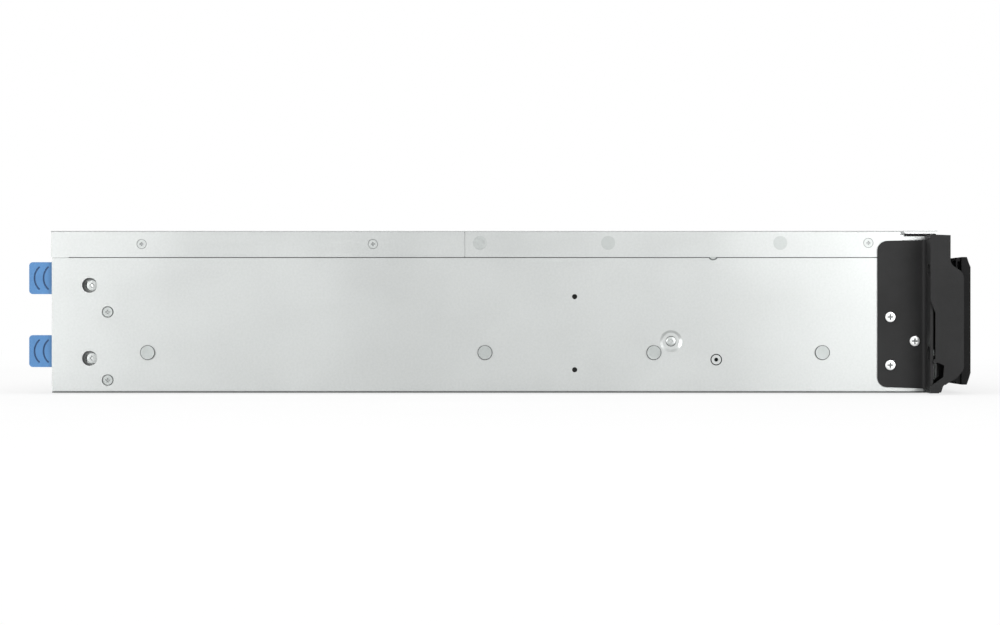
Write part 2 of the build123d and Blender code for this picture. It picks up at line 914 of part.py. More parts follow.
# Handle: a bent strap on the rear wall
grip_base = module_rear_y + pin_gap
with BuildPart() as grip:
    with BuildSketch(Plane.XY.offset(grip_low)):
        with BuildLine():
            Polyline(
                (grip_start_x, grip_base),
                (grip_start_x, grip_base + grip_reach),
                (grip_end_x, grip_base + grip_reach),
                (grip_end_x, grip_base),
                (grip_end_x - grip_sheet, grip_base),
                (grip_end_x - grip_sheet, grip_base + grip_reach - grip_sheet),
                (grip_start_x + grip_sheet, grip_base + grip_reach - grip_sheet),
                (grip_start_x + grip_sheet, grip_base),
                close=True,
            )
        make_face()
    extrude(amount=grip_high - grip_low)
    outer_corners = grip.edges().filter_by(Axis.Z).group_by(Axis.Y)[-1]
    chamfer(outer_corners, grip_sheet / 2)

# Latch: a sprung arm in the pocket, with a grooved tab outside the case
with BuildPart() as latch:
    bar_z(latch_pivot_x, latch_pivot_y, latch_low, latch_eye_radius, latch_high - latch_low)
    block(
        (latch_outer_x, latch_pivot_y, latch_low),
        (latch_outer_x + latch_thickness, tab_start_y + tab_corner, latch_high),
    )
    bar_z(
        latch_pivot_x,
        latch_pivot_y,
        latch_low,
        latch_pin_radius + pin_gap,
        latch_high - latch_low,
        Mode.SUBTRACT,
    )
    tab_middle = (tab_low + tab_high) / 2
    with BuildSketch(Plane.YZ.offset(latch_outer_x)):
        with Locations(((tab_start_y + tab_end_y) / 2, tab_middle)):
            RectangleRounded(tab_end_y - tab_start_y, tab_high - tab_low, tab_corner)
    extrude(amount=tab_thickness)
    groove_half = math.degrees(math.asin(groove_height / 2 / groove_radius))
    with BuildSketch(Plane.YZ.offset(latch_outer_x)):
        with BuildLine():
            for groove in range(groove_count):
                CenterArc(
                    (groove_last_y - groove * groove_pitch - groove_radius, tab_middle),
                    groove_radius,
                    -groove_half,
                    2 * groove_half,
                )
        trace(line_width=groove_width)
    extrude(amount=groove_depth, mode=Mode.SUBTRACT)

# Controller case: a closed sheet-metal box with its fans in front and its sockets behind
board_bottom = controller_wall + pcb_lift
board_top = board_bottom + pin_gap + pcb_thickness
copper_total = copper_count * copper_width
cages_total = cage_count * cage_width
port_groups = (
    (copper_start_x, copper_total, copper_height),
    (cage_start_x, cages_total, cage_height),
    (bus_start_x, bus_width, bus_count * bus_height),
)
with BuildPart() as controller:
    block((controller_low_x, controller_front_y, 0), (controller_high_x, module_rear_y, module_height))
    block(
        (controller_low_x + controller_wall, controller_front_y + controller_wall, controller_wall),
        (controller_high_x - controller_wall, module_rear_y - controller_wall, module_height - controller_wall),
        Mode.SUBTRACT,
    )
    for start_x, width, height in port_groups:
        block(
            (start_x - pin_gap, module_rear_y - controller_wall, board_top - pin_gap),
            (start_x + width + pin_gap, module_rear_y, board_top + height + pin_gap),
            Mode.SUBTRACT,
        )
    for number in range(slot_vent_count):
        vent_x = slot_vent_start + number * slot_vent_pitch
        block(
            (vent_x, module_rear_y - controller_wall, slot_vent_low),
            (vent_x + slot_vent_width, module_rear_y, slot_vent_low + slot_vent_height),
            Mode.SUBTRACT,
        )
    for socket_x in controller_socket_starts:
        block(
            (socket_x - slip_gap, controller_front_y, window_low),
            (socket_x + controller_socket_width + slip_gap, controller_front_y + controller_wall, window_high),
            Mode.SUBTRACT,
        )
    for fan_x in fan_centres_x:
        add_motor(fan_x, controller_front_y + controller_wall, module_height / 2, controller_wall)
    for post_x in (controller_low_x + post_inset, controller_high_x - post_inset):
        for post_y in (fan_post_y, module_rear_y - post_inset):
            bar_z(post_x, post_y, controller_wall, post_radius, pcb_lift)
    # Ears and pins that carry the two ejector levers
    for pivot_x in (controller_low_x + ejector_inset, controller_high_x - ejector_inset):
        for ear_low in (ejector_low - seat_gap - ejector_ear, ejector_high + seat_gap):
            block(
                (pivot_x - ejector_thickness / 2, module_rear_y, ear_low),
                (pivot_x + ejector_thickness / 2, ejector_y + ejector_thickness / 2, ear_low + ejector_ear),
            )
        bar_z(
            pivot_x,
            ejector_y,
            ejector_low - ejector_ear,
            ejector_pin_radius,
            ejector_high - ejector_low + 2 * ejector_ear,
        )

# Controller board: the circuit board with its socket blocks and heat sink
with BuildPart() as circuit:
    board_start_y = controller_front_y + controller_wall + seat_gap
    board_low_x = controller_low_x + controller_wall + pcb_margin
    board_high_x = controller_high_x - controller_wall - pcb_margin
    block(
        (board_low_x, board_start_y, board_bottom + pin_gap),
        (board_high_x, module_rear_y - controller_wall - seat_gap, board_top),
    )
    for fan_x in fan_centres_x:
        block(
            (fan_x - fan_clearance, board_start_y, board_bottom + pin_gap),
            (fan_x + fan_clearance, board_start_y + pcb_start_gap, board_top),
            Mode.SUBTRACT,
        )
    for start_x, width, height, depth, count, rows in (
        (copper_start_x, copper_width, copper_height, copper_depth, copper_count, 1),
        (cage_start_x, cage_width, cage_height, cage_depth, cage_count, 1),
        (bus_start_x, bus_width, bus_height, bus_depth, 1, bus_count),
    ):
        port_end_y = module_rear_y + port_proud
        block(
            (start_x, port_end_y - depth, board_top),
            (start_x + count * width, port_end_y, board_top + rows * height),
        )
        for column in range(count):
            for row in range(rows):
                mouth_x = start_x + column * width
                mouth_z = board_top + row * height
                block(
                    (mouth_x + port_wall, port_end_y - depth + port_wall, mouth_z + port_wall),
                    (mouth_x + width - port_wall, port_end_y, mouth_z + height - port_wall),
                    Mode.SUBTRACT,
                )
    block(
        (*sink_start, board_top),
        (sink_start[0] + sink_size, sink_start[1] + sink_size, board_top + sink_height),
    )

# Ejector lever, lying along the rear wall from its pivot
with BuildPart() as ejector:
    with BuildSketch(Plane.XY.offset(ejector_low)):
        with BuildLine():
            Polyline(
                (0, -ejector_thickness / 2),
                (ejector_length, -ejector_thickness / 2 + ejector_taper),
                (ejector_length, ejector_thickness / 2 - pin_gap),
                (0, ejector_thickness / 2),
                close=True,
            )
        make_face()
        Circle(ejector_thickness / 2)
        Circle(ejector_pin_radius + pin_gap, mode=Mode.SUBTRACT)
    extrude(amount=ejector_high - ejector_low)

for level, level_name in enumerate(("lower", "upper")):
    lift = module_low + level * module_pitch
    with BuildPart() as placed_supply:
        with Locations((0, 0, lift)):
            add(supply.part)
            add(inlet.part)
            add(grip.part)
    keep(placed_supply, f"{level_name}_supply_case")
    with BuildPart() as placed_latch:
        with Locations((0, 0, lift)):
            add(latch.part)
    keep(placed_latch, f"{level_name}_supply_latch")
    add_rotor(f"{level_name}_supply_fan", supply_fan_x, chamber_front_y, lift + module_height / 2)
    with BuildPart() as placed_case:
        with Locations((0, 0, lift)):
            add(controller.part)
    keep(placed_case, f"{level_name}_controller_case")
    with BuildPart() as placed_board:
        with Locations((0, 0, lift)):
            add(circuit.part)
    keep(placed_board, f"{level_name}_controller_board")
    for fan_number, fan_x in enumerate(fan_centres_x, start=1):
        add_rotor(
            f"{level_name}_controller_fan_{fan_number}",
            fan_x,
            controller_front_y + controller_wall,
            lift + module_height / 2,
        )
    with BuildPart() as left_ejector:
        with Locations((controller_low_x + ejector_inset, ejector_y, lift)):
            add(ejector.part)
    keep(left_ejector, f"{level_name}_left_ejector")
    with BuildPart() as right_ejector:
        with Locations((-controller_high_x + ejector_inset, ejector_y, lift)):
            add(ejector.part)
        mirror(about=Plane.YZ, mode=Mode.REPLACE)
    keep(right_ejector, f"{level_name}_right_ejector")


def build_ear(side):
    """A bent ear bracket: a plate on the case wall and the flange that meets the rack."""
    flange_front = ear_bend_y - ear_flange
    with BuildPart() as bracket:
        with BuildSketch(Plane.XY.offset(ear_flange_low)) as angle:
            with BuildLine():
                Polyline(
                    (-half_width, ear_plate_rear_y),
                    (-half_width - ear_sheet, ear_plate_rear_y),
                    (-half_width - ear_sheet, ear_bend_y),
                    (-ear_flange_end, ear_bend_y),
                    (-ear_flange_end, flange_front),
                    (-half_width, flange_front),
                    close=True,
                )
            make_face()
            inner_corner = angle.vertices().sort_by_distance((-half_width - ear_sheet, ear_bend_y)).first
            fillet(inner_corner, bend_inner_radius)
            outer_corner = angle.vertices().sort_by_distance((-half_width, flange_front)).first
            fillet(outer_corner, bend_inner_radius + ear_sheet)
        extrude(amount=ear_flange_high - ear_flange_low)
        # Side outline, with rounded corners at the rear and three screw holes
        with BuildSketch(Plane.YZ.offset(-ear_flange_end)) as outline:
            with BuildLine():
                Polyline(
                    (flange_front, ear_flange_low),
                    (ear_bend_y, ear_flange_low),
                    (ear_bend_y + bend_inner_radius, ear_flare_low),
                    (ear_plate_rear_y, ear_plate_low),
                    (ear_plate_rear_y, ear_plate_high),
                    (ear_bend_y + bend_inner_radius, ear_flare_high),
                    (ear_bend_y, ear_flange_high),
                    (flange_front, ear_flange_high),
                    close=True,
                )
            make_face()
            fillet(outline.vertices().group_by(Axis.X)[-1], ear_corner)
            with Locations(*ear_screw_spots):
                Circle(shank_radius + pin_gap, mode=Mode.SUBTRACT)
        extrude(amount=ear_flange_end - half_width, mode=Mode.INTERSECT)
        with BuildSketch(Plane.XZ.offset(-ear_bend_y)):
            with Locations(*[(-rack_hole_spacing / 2, height) for height in rack_slot_heights]):
                SlotOverall(rack_slot_length, 2 * rack_slot_radius)
        extrude(amount=ear_flange, mode=Mode.SUBTRACT)
        if side > 0:
            mirror(about=Plane.YZ, mode=Mode.REPLACE)
    keep(bracket, "right_ear_bracket" if side > 0 else "left_ear_bracket")


def build_ear_cover(side):
    """A moulded cover in front of an ear flange, hollow, with a seat for the rack screw."""
    with BuildPart() as cover:
        with BuildSketch(Plane.YZ.offset(-cover_outer_x)):
            with BuildLine():
                Line((cover_rear_y, cover_top), (cover_step_y, cover_top - cover_top_fall))
                Line((cover_step_y, cover_top - cover_top_fall), (cover_step_y, shoulder_high))
                Spline(
                    (cover_step_y, shoulder_high),
                    (cover_step_y - shoulder_bulge[0], shoulder_high - shoulder_bulge[1]),
                    (cover_front_y, shoulder_low),
                    tangents=((0, -1), (0, -1)),
                )
                Line((cover_front_y, shoulder_low), (cover_front_y, chin_high))
                Spline(
                    (cover_front_y, chin_high),
                    (cover_front_y + chin_bulge[0], chin_high - chin_bulge[1]),
                    (cover_front_y + chin_run, chin_low),
                    tangents=((0, -1), chin_slope),
                )
                Polyline(
                    (cover_front_y + chin_run, chin_low),
                    (foot_y, foot_high),
                    (foot_y + toe[0], foot_low + toe[1]),
                    (cover_rear_y, foot_low),
                    (cover_rear_y, heel_high),
                    (foot_y, instep_high),
                    (foot_y - throat[0], notch_high - throat[1]),
                    (cover_waist_y, notch_high),
                    (cover_waist_y, waist_high),
                    (cover_rear_y, waist_high + waist_rise),
                    (cover_rear_y, cover_top),
                )
            make_face()
        extrude(amount=cover_outer_x - cover_inner_x)
        # Hollow, open at the rear towards the flange
        with BuildSketch(Plane.YZ.offset(-cover_outer_x + cover_wall)):
            with BuildLine():
                Polyline(
                    (cover_rear_y + cover_wall, foot_low + cover_wall),
                    (foot_y + 1.5 * cover_wall, foot_low + cover_wall),
                    (foot_y + cover_wall / 2, foot_high + cover_wall),
                    (cover_front_y + 3 * cover_wall, chin_low + cover_wall),
                    (cover_front_y + cover_wall, chin_high),
                    (cover_front_y + cover_wall, shoulder_low - cover_wall / 2),
                    (cover_step_y + cover_wall, shoulder_high - cover_wall / 2),
                    (cover_step_y + cover_wall, cover_top - cover_top_fall - cover_wall),
                    (cover_rear_y + cover_wall, cover_top - cover_top_fall - cover_wall),
                    close=True,
                )
            make_face()
        extrude(amount=cover_outer_x - cover_inner_x - 2 * cover_wall, mode=Mode.SUBTRACT)
        # Clearance for the flange, which the outer wall of the cover laps
        block(
            (-cover_outer_x + cover_wall, ear_bend_y - ear_flange - slip_gap, 0),
            (-half_width, cover_rear_y, case_height),
            Mode.SUBTRACT,
        )
        # Caps above and below the flange, which close the cover as far as the wall
        for cap_low, cap_high in (
            (ear_flange_high + seat_gap, cover_top - cover_top_fall),
            (foot_low, ear_flange_low - seat_gap),
        ):
            block(
                (-cover_outer_x + cover_wall, cap_front_y, cap_low),
                (-half_width - slip_gap, cover_rear_y, cap_high),
            )
        # Hinge boss at the corner of the notch
        bar_x(-cover_outer_x, cover_waist_y, notch_high, hinge_boss_radius, cover_wall)
        # Pocket and seat of the rack screw
        screw_x, screw_z = -rack_hole_spacing / 2, rack_slot_heights[0]
        block(
            (-cover_outer_x + cover_wall, cover_front_y + cover_wall / 2, screw_z - rack_boss / 2),
            (-cover_inner_x - cover_wall, rack_seat_y + rack_seat_sheet, screw_z + rack_boss / 2),
        )
        bar_y(screw_x, cover_front_y, screw_z, rack_pocket_radius, rack_seat_y - cover_front_y, Mode.SUBTRACT)
        shaft_length = rack_shaft_end_y - cover_front_y
        bar_y(screw_x, cover_front_y, screw_z, rack_shaft_radius + pin_gap, shaft_length, Mode.SUBTRACT)
        if side > 0:
            mirror(about=Plane.YZ, mode=Mode.REPLACE)
            bar_y(
                rack_hole_spacing / 2,
                cover_front_y,
                button_height,
                button_radius + button_gap,
                cover_wall,
                Mode.SUBTRACT,
            )
            for light_z in light_heights:
                bar_y(
                    rack_hole_spacing / 2,
                    cover_front_y,
                    light_z,
                    light_radius + pin_gap,
                    cover_wall,
                    Mode.SUBTRACT,
                )
    keep(cover, "right_ear_cover" if side > 0 else "left_ear_cover")


def build_rack_screw(side):
    """A captive screw that waits in the ear cover, with its head in the pocket."""
    screw_x, screw_z = side * rack_hole_spacing / 2, rack_slot_heights[0]
    with BuildPart() as screw:
        bar_y(screw_x, rack_head_front_y, screw_z, rack_head_radius, rack_head_rear_y - rack_head_front_y)
        bar_y(screw_x, rack_head_rear_y, screw_z, rack_shaft_radius, rack_shaft_end_y - rack_head_rear_y)
        ring_y = rack_seat_y + rack_seat_sheet + seat_gap
        bar_y(screw_x, ring_y, screw_z, rack_ring_radius, rack_ring_sheet)
        bar_y(screw_x, rack_head_front_y, screw_z, drive_recess_radius, drive_recess_depth, Mode.SUBTRACT)
    keep(screw, "right_rack_screw" if side > 0 else "left_rack_screw")


for side in (-1, 1):
    build_ear(side)
    build_ear_cover(side)
    build_rack_screw(side)

# Screws of both ear brackets
with BuildPart() as ear_screws:
    for spot in ear_screw_spots:
        bar_x(-half_width - ear_sheet - ear_screw_head, *spot, ear_screw_radius, ear_screw_head)
        bar_x(-half_width - ear_sheet, *spot, shank_radius, ear_sheet + sheet)
    mirror(about=Plane.YZ)
keep(ear_screws, "ear_screws")

# Power button behind the front wall of the right ear cover
with BuildPart() as button:
    button_x = rack_hole_spacing / 2
    flange_y = cover_front_y + cover_wall + seat_gap
    bar_y(button_x, button_front_y, button_height, button_radius, flange_y - button_front_y)
    bar_y(button_x, flange_y, button_height, button_flange_radius, button_flange)
keep(button, "power_button")

# Light guides in the front wall of the right ear cover
with BuildPart() as status_lights:
    for light_z in light_heights:
        bar_y(rack_hole_spacing / 2, cover_front_y, light_z, light_radius, light_length)
keep(status_lights, "status_lights")
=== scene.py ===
import math
import bpy
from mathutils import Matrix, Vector


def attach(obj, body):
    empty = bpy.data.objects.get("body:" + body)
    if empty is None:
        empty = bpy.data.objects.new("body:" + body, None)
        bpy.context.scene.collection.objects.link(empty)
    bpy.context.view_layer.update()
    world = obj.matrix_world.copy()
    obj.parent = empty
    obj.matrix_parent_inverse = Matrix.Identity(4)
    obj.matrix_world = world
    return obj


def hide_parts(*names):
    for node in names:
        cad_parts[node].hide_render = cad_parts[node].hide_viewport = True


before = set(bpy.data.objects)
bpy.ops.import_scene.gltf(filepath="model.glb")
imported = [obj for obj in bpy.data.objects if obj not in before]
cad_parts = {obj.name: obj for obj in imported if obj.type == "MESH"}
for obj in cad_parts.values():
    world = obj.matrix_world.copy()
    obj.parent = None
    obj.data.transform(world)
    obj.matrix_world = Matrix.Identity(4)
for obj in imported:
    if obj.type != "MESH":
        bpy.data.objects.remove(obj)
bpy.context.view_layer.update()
mm = 0.001


# Case sheets: the tub, its two covers, the drive cage and the frame round the modules.
# Zinc-coated steel, cut and folded cold, so it keeps the coat's pale mottle and faint lines
# along the way the sheet was rolled.
zinc_dark = (0.455, 0.470, 0.464, 1.0)
zinc_light = (0.480, 0.495, 0.489, 1.0)
mottle_per_metre, rolling_per_metre, handling_per_metre = 900.0, 1100.0, 14.0
rolling_stretch = (1.0, 0.015, 1.0)
rolled_roughness, handled_roughness = (0.285, 0.305), (0.0, 0.05)
coat_relief = 0.002
# Painted shade: the colour darkens at the top fold, in the seam under the covers' flange and in
# the hem groove at the bottom.
fold_shade, seam_shade = 0.6, 0.25
fold_side, fold_top = (218.1, 218.7), (87.2, 87.7)
groove_side = (218.85, 218.6)
seam_low, seam_high = (72.6, 73.0), (74.4, 74.0)
hem_high = (1.1, 0.9)


def new_finish(name, metallic=0.0, specular=0.5):
    """A fresh material with its node tree and its shader."""
    finish = bpy.data.materials.new(name)
    finish.use_nodes = True
    shader = finish.node_tree.nodes["Principled BSDF"]
    shader.inputs["Metallic"].default_value = metallic
    shader.inputs["Specular IOR Level"].default_value = specular
    return finish, finish.node_tree, shader


def add_noise(tree, per_metre, stretch=(1.0, 1.0, 1.0), detail=3.0):
    """Noise of a real size on the piece, drawn out along the axes whose stretch is under one."""
    place = tree.nodes.new("ShaderNodeTexCoord")
    mapping = tree.nodes.new("ShaderNodeMapping")
    mapping.inputs["Scale"].default_value = stretch
    noise = tree.nodes.new("ShaderNodeTexNoise")
    noise.inputs["Scale"].default_value = per_metre
    noise.inputs["Detail"].default_value = detail
    tree.links.new(place.outputs["Object"], mapping.inputs["Vector"])
    tree.links.new(mapping.outputs["Vector"], noise.inputs["Vector"])
    return noise.outputs["Fac"]


def tint(tree, value, dark, light, socket, start=0.35, end=0.65):
    """Colour a socket from dark to light as the noise goes from start to end."""
    ramp = tree.nodes.new("ShaderNodeValToRGB")
    first, last = ramp.color_ramp.elements
    first.position, first.color = start, dark
    last.position, last.color = end, light
    tree.links.new(value, ramp.inputs["Fac"])
    tree.links.new(ramp.outputs["Color"], socket)


def grade(tree, value, low, high, socket, start=0.35, end=0.65):
    """Drive a socket from low to high as the noise goes from start to end."""
    ranged = tree.nodes.new("ShaderNodeMapRange")
    ranged.inputs["From Min"].default_value = start
    ranged.inputs["From Max"].default_value = end
    ranged.inputs["To Min"].default_value = low
    ranged.inputs["To Max"].default_value = high
    tree.links.new(value, ranged.inputs["Value"])
    tree.links.new(ranged.outputs["Result"], socket)


def emboss(tree, value, depth, shader):
    """Raise the surface by the noise, as far as the depth."""
    bump = tree.nodes.new("ShaderNodeBump")
    bump.inputs["Distance"].default_value = depth
    tree.links.new(value, bump.inputs["Height"])
    tree.links.new(bump.outputs["Normal"], shader.inputs["Normal"])


def dress(finish, *nodes):
    """Give CAD nodes their finish."""
    for node in nodes:
        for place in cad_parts[node].material_slots:
            place.material = finish


def measure(tree, socket, span):
    """How far a coordinate, without its sign, has come from the start of a span to its end."""
    distance = tree.nodes.new("ShaderNodeMath")
    distance.operation = "ABSOLUTE"
    tree.links.new(socket, distance.inputs[0])
    ranged = tree.nodes.new("ShaderNodeMapRange")
    ranged.inputs["From Min"].default_value = span[0] * mm
    ranged.inputs["From Max"].default_value = span[1] * mm
    tree.links.new(distance.outputs["Value"], ranged.inputs["Value"])
    return ranged.outputs["Result"]


def both(tree, first, second):
    """The product of two values."""
    product = tree.nodes.new("ShaderNodeMath")
    product.operation = "MULTIPLY"
    tree.links.new(first, product.inputs[0])
    tree.links.new(second, product.inputs[1])
    return product.outputs["Value"]


def darken(tree, amount, shade):
    """A mix that darkens its colour A by the amount."""
    mix = tree.nodes.new("ShaderNodeMix")
    mix.data_type, mix.blend_type = "RGBA", "MULTIPLY"
    mix.inputs[7].default_value = (shade, shade, shade, 1.0)
    tree.links.new(amount, mix.inputs[0])
    return mix


def make_zinc_sheet():
    """Zinc coat: a metal with a soft mottle and rolling lines in its gloss, with painted shade at
    its folds, seam and hem.
    """
    finish, tree, shader = new_finish("zinc_sheet", metallic=0.92)
    mottle = add_noise(tree, mottle_per_metre, detail=6.0)
    handling = add_noise(tree, handling_per_metre, detail=4.0)
    rolling = add_noise(tree, rolling_per_metre, stretch=rolling_stretch)
    place = tree.nodes.new("ShaderNodeTexCoord")
    axes = tree.nodes.new("ShaderNodeSeparateXYZ")
    tree.links.new(place.outputs["Object"], axes.inputs["Vector"])
    across, up = axes.outputs["X"], axes.outputs["Z"]
    at_fold = both(tree, measure(tree, across, fold_side), measure(tree, up, fold_top))
    seam_band = both(tree, measure(tree, up, seam_low), measure(tree, up, seam_high))
    in_seam = both(tree, measure(tree, across, groove_side), seam_band)
    in_hem = both(tree, measure(tree, across, groove_side), measure(tree, up, hem_high))
    folded = darken(tree, at_fold, fold_shade)
    seamed = darken(tree, in_seam, seam_shade)
    hemmed = darken(tree, in_hem, seam_shade)
    tint(tree, mottle, zinc_dark, zinc_light, folded.inputs[6])
    tree.links.new(folded.outputs[2], seamed.inputs[6])
    tree.links.new(seamed.outputs[2], hemmed.inputs[6])
    tree.links.new(hemmed.outputs[2], shader.inputs["Base Color"])
    gloss = tree.nodes.new("ShaderNodeMath")
    gloss.operation = "ADD"
    grade(tree, rolling, *rolled_roughness, gloss.inputs[0])
    grade(tree, handling, *handled_roughness, gloss.inputs[1])
    tree.links.new(gloss.outputs["Value"], shader.inputs["Roughness"])
    emboss(tree, mottle, coat_relief * mm, shader)
    return finish


zinc_sheet = make_zinc_sheet()
dress(zinc_sheet, "chassis_tub", "front_cover", "rear_cover", "drive_cage", "module_bay_frame")


# Case screws: flat heads that lie flush in the covers and walls, and one crowned head in a
# shallow dish. Steel with bright zinc plate, and a stamped cross recess.
wall_x = 219.0
cover_screw_spots = [(191.8, 80.8), (66.2, 80.8), (-202.9, 81.4)]
wall_screw_spots = [(210.2, 43.9), (210.2, 6.9)]
dish_screw_spot, dish_depth = (-95.7, 28.0), 0.6
flat_head_height, dish_head_height, dish_crown = 1.15, 0.3, 0.3
cover_head_radius, cover_unshaded_radius = 2.6, 2.42
wall_head_radius, wall_unshaded_radius = 2.95, 2.65
dish_head_radius, dish_unshaded_radius = 2.85, 2.55
thin_rim, wide_rim = 0.06, 0.13
crown_share, crown_step = 0.65, 0.3
cross_width, cross_depth, cross_taper = 0.36, 0.22, 0.72
recess_start, steep = 0.2, 0.75
plate_per_metre, plate_roughness, plate_relief = 900.0, (0.3, 0.4), 0.002
plate_dark = (0.355, 0.375, 0.368, 1.0)
plate_light = (0.38, 0.40, 0.393, 1.0)
bright_dark = (0.70, 0.71, 0.705, 1.0)
bright_light = (0.76, 0.77, 0.765, 1.0)
clean_dark = (0.415, 0.433, 0.426, 1.0)
clean_light = (0.435, 0.453, 0.446, 1.0)
# Painted shade: a darker plate for the floors of cross recesses.
recess_shade_dark = (0.28, 0.292, 0.288, 1.0)
recess_shade_light = (0.32, 0.332, 0.328, 1.0)
# Painted shade: a near-black plate that outlines the sides and rims of heads.
shade_plate_dark = (0.09, 0.095, 0.093, 1.0)
shade_plate_light = (0.14, 0.148, 0.145, 1.0)


def only(*pieces):
    """Select these pieces alone, with the first one in hand."""
    bpy.ops.object.select_all(action="DESELECT")
    for piece in pieces:
        piece.select_set(True)
    bpy.context.view_layer.objects.active = pieces[0]


def pick(piece, test):
    """Select the faces whose middle and normal pass the test, and go into edit mode."""
    bpy.ops.object.mode_set(mode="OBJECT")
    for part in (*piece.data.vertices, *piece.data.edges):
        part.select = False
    for face in piece.data.polygons:
        face.select = test(face.center, face.normal)
    bpy.ops.object.mode_set(mode="EDIT")
    bpy.ops.mesh.select_mode(type="FACE")


def settle(piece):
    """Put the piece's place and turn into its mesh."""
    only(piece)
    bpy.ops.object.transform_apply(location=True, rotation=True, scale=True)


def round_edges(piece, width, segments=2):
    """Round the sharp edges of a piece and shade the rounding smooth and the flats flat."""
    only(piece)
    edges = piece.modifiers.new("Edges", "BEVEL")
    edges.width, edges.segments = width, segments
    edges.limit_method, edges.angle_limit = "ANGLE", math.radians(32)
    bpy.ops.object.modifier_apply(modifier=edges.name)
    bpy.ops.object.shade_smooth_by_angle(angle=math.radians(40))
    flats = piece.modifiers.new("Flats", "WEIGHTED_NORMAL")
    flats.weight, flats.keep_sharp = 100, True
    bpy.ops.object.modifier_apply(modifier=flats.name)


def cut(piece, cutter):
    """Cut one piece out of another and throw the cutter away."""
    only(piece)
    cutting = piece.modifiers.new("Cut", "BOOLEAN")
    cutting.operation, cutting.solver, cutting.object = "DIFFERENCE", "EXACT", cutter
    bpy.ops.object.modifier_apply(modifier=cutting.name)
    bpy.data.objects.remove(cutter)


def model_disc(name, radius, height, steps=32):
    """A round blank that stands on the origin and faces up."""
    bpy.ops.object.select_all(action="DESELECT")
    bpy.ops.mesh.primitive_cylinder_add(
        vertices=steps, radius=radius, depth=height, location=(0, 0, height / 2)
    )
    disc = bpy.context.active_object
    disc.name = name
    settle(disc)
    return disc


def model_block(size, middle=(0.0, 0.0, 0.0)):
    """A block of a size in metres, with its middle in its place."""
    bpy.ops.object.select_all(action="DESELECT")
    bpy.ops.mesh.primitive_cube_add(size=1.0, location=middle)
    block = bpy.context.active_object
    block.scale = size
    settle(block)
    return block


def coat(piece, finish, test):
    """Give another finish to the faces whose middle and normal pass the test."""
    piece.data.materials.append(finish)
    place = len(piece.data.materials) - 1
    for face in piece.data.polygons:
        if test(face.center, face.normal):
            face.material_index = place


def press_cross(head, top, length, width, depth):
    """Press a tapered cross recess into the top of a head."""
    for size_x, size_y in ((length, width), (width, length)):
        bar = model_block((size_x, size_y, 2 * depth), (0, 0, top))
        pick(bar, lambda middle, normal: normal.z < -0.9)
        bpy.ops.transform.resize(value=(cross_taper, cross_taper, 1.0))
        bpy.ops.object.mode_set(mode="OBJECT")
        cut(head, bar)


def model_screw(name, radius, height, crown, cross, rim=thin_rim):
    """A screw head with a rounded crown and a cross recess; cross and rim are in radii."""
    head = model_disc(name, radius, height)
    pick(head, lambda middle, normal: normal.z > 0.9)
    bpy.ops.mesh.inset(thickness=radius * rim, depth=crown * crown_share)
    bpy.ops.mesh.inset(thickness=radius * crown_step, depth=crown * (1 - crown_share))
    bpy.ops.object.mode_set(mode="OBJECT")
    press_cross(
        head, height + crown, radius * cross, radius * cross_width, radius * cross_depth
    )
    only(head)
    bpy.ops.object.shade_smooth_by_angle(angle=math.radians(30))
    return head


def plate_screw(head, top_finish, floor_finish=None, unshaded_radius=math.inf):
    """Plate the top of a head and the floor of its recess, and paint shade on its sides and on its
    rim round the plated middle.
    """
    head.data.materials.append(top_finish)
    top = max(vertex.co.z for vertex in head.data.vertices)
    deep = top - recess_start * mm
    coat(head, floor_finish or top_finish, lambda middle, normal: middle.z < deep)
    coat(
        head,
        shade_plate,
        lambda middle, normal: normal.z < steep or middle.xy.length > unshaded_radius,
    )


def place_copy(model, name, place, turn=(0.0, 0.0, 0.0)):
    """A copy of a modelled piece with its own mesh, put in its place."""
    copy = bpy.data.objects.new(name, model.data.copy())
    bpy.context.collection.objects.link(copy)
    copy.location, copy.rotation_euler = Vector(place) * mm, turn
    settle(copy)
    return copy


def face_side(side):
    """The turn that makes an upright piece face out of a side wall."""
    return (0.0, side * math.pi / 2, 0.0)


def make_plate(name, dark, light):
    """Plated steel: a clean metal, a little uneven in its colour and its gloss."""
    finish, tree, shader = new_finish(name, metallic=0.92)
    cloud = add_noise(tree, plate_per_metre)
    tint(tree, cloud, dark, light, shader.inputs["Base Color"])
    grade(tree, cloud, *plate_roughness, shader.inputs["Roughness"])
    emboss(tree, cloud, plate_relief * mm, shader)
    return finish


zinc_plate = make_plate("zinc_plate", plate_dark, plate_light)
bright_plate = make_plate("bright_plate", bright_dark, bright_light)
shade_plate = make_plate("shade_plate", shade_plate_dark, shade_plate_light)
recess_shade_plate = make_plate("recess_shade_plate", recess_shade_dark, recess_shade_light)
clean_plate = make_plate("clean_plate", clean_dark, clean_light)
cover_screw = model_screw(
    "cover_screw", cover_head_radius * mm, flat_head_height * mm, 0.0, cross=0.9
)
wall_screw = model_screw(
    "wall_screw", wall_head_radius * mm, flat_head_height * mm, 0.0, cross=0.9, rim=wide_rim
)
dish_screw = model_screw(
    "dish_screw",
    dish_head_radius * mm,
    dish_head_height * mm,
    dish_crown * mm,
    cross=0.8,
    rim=wide_rim,
)
plate_screw(cover_screw, clean_plate, recess_shade_plate, cover_unshaded_radius * mm)
plate_screw(wall_screw, zinc_plate, recess_shade_plate, wall_unshaded_radius * mm)
plate_screw(dish_screw, clean_plate, recess_shade_plate, dish_unshaded_radius * mm)
case_screws = []
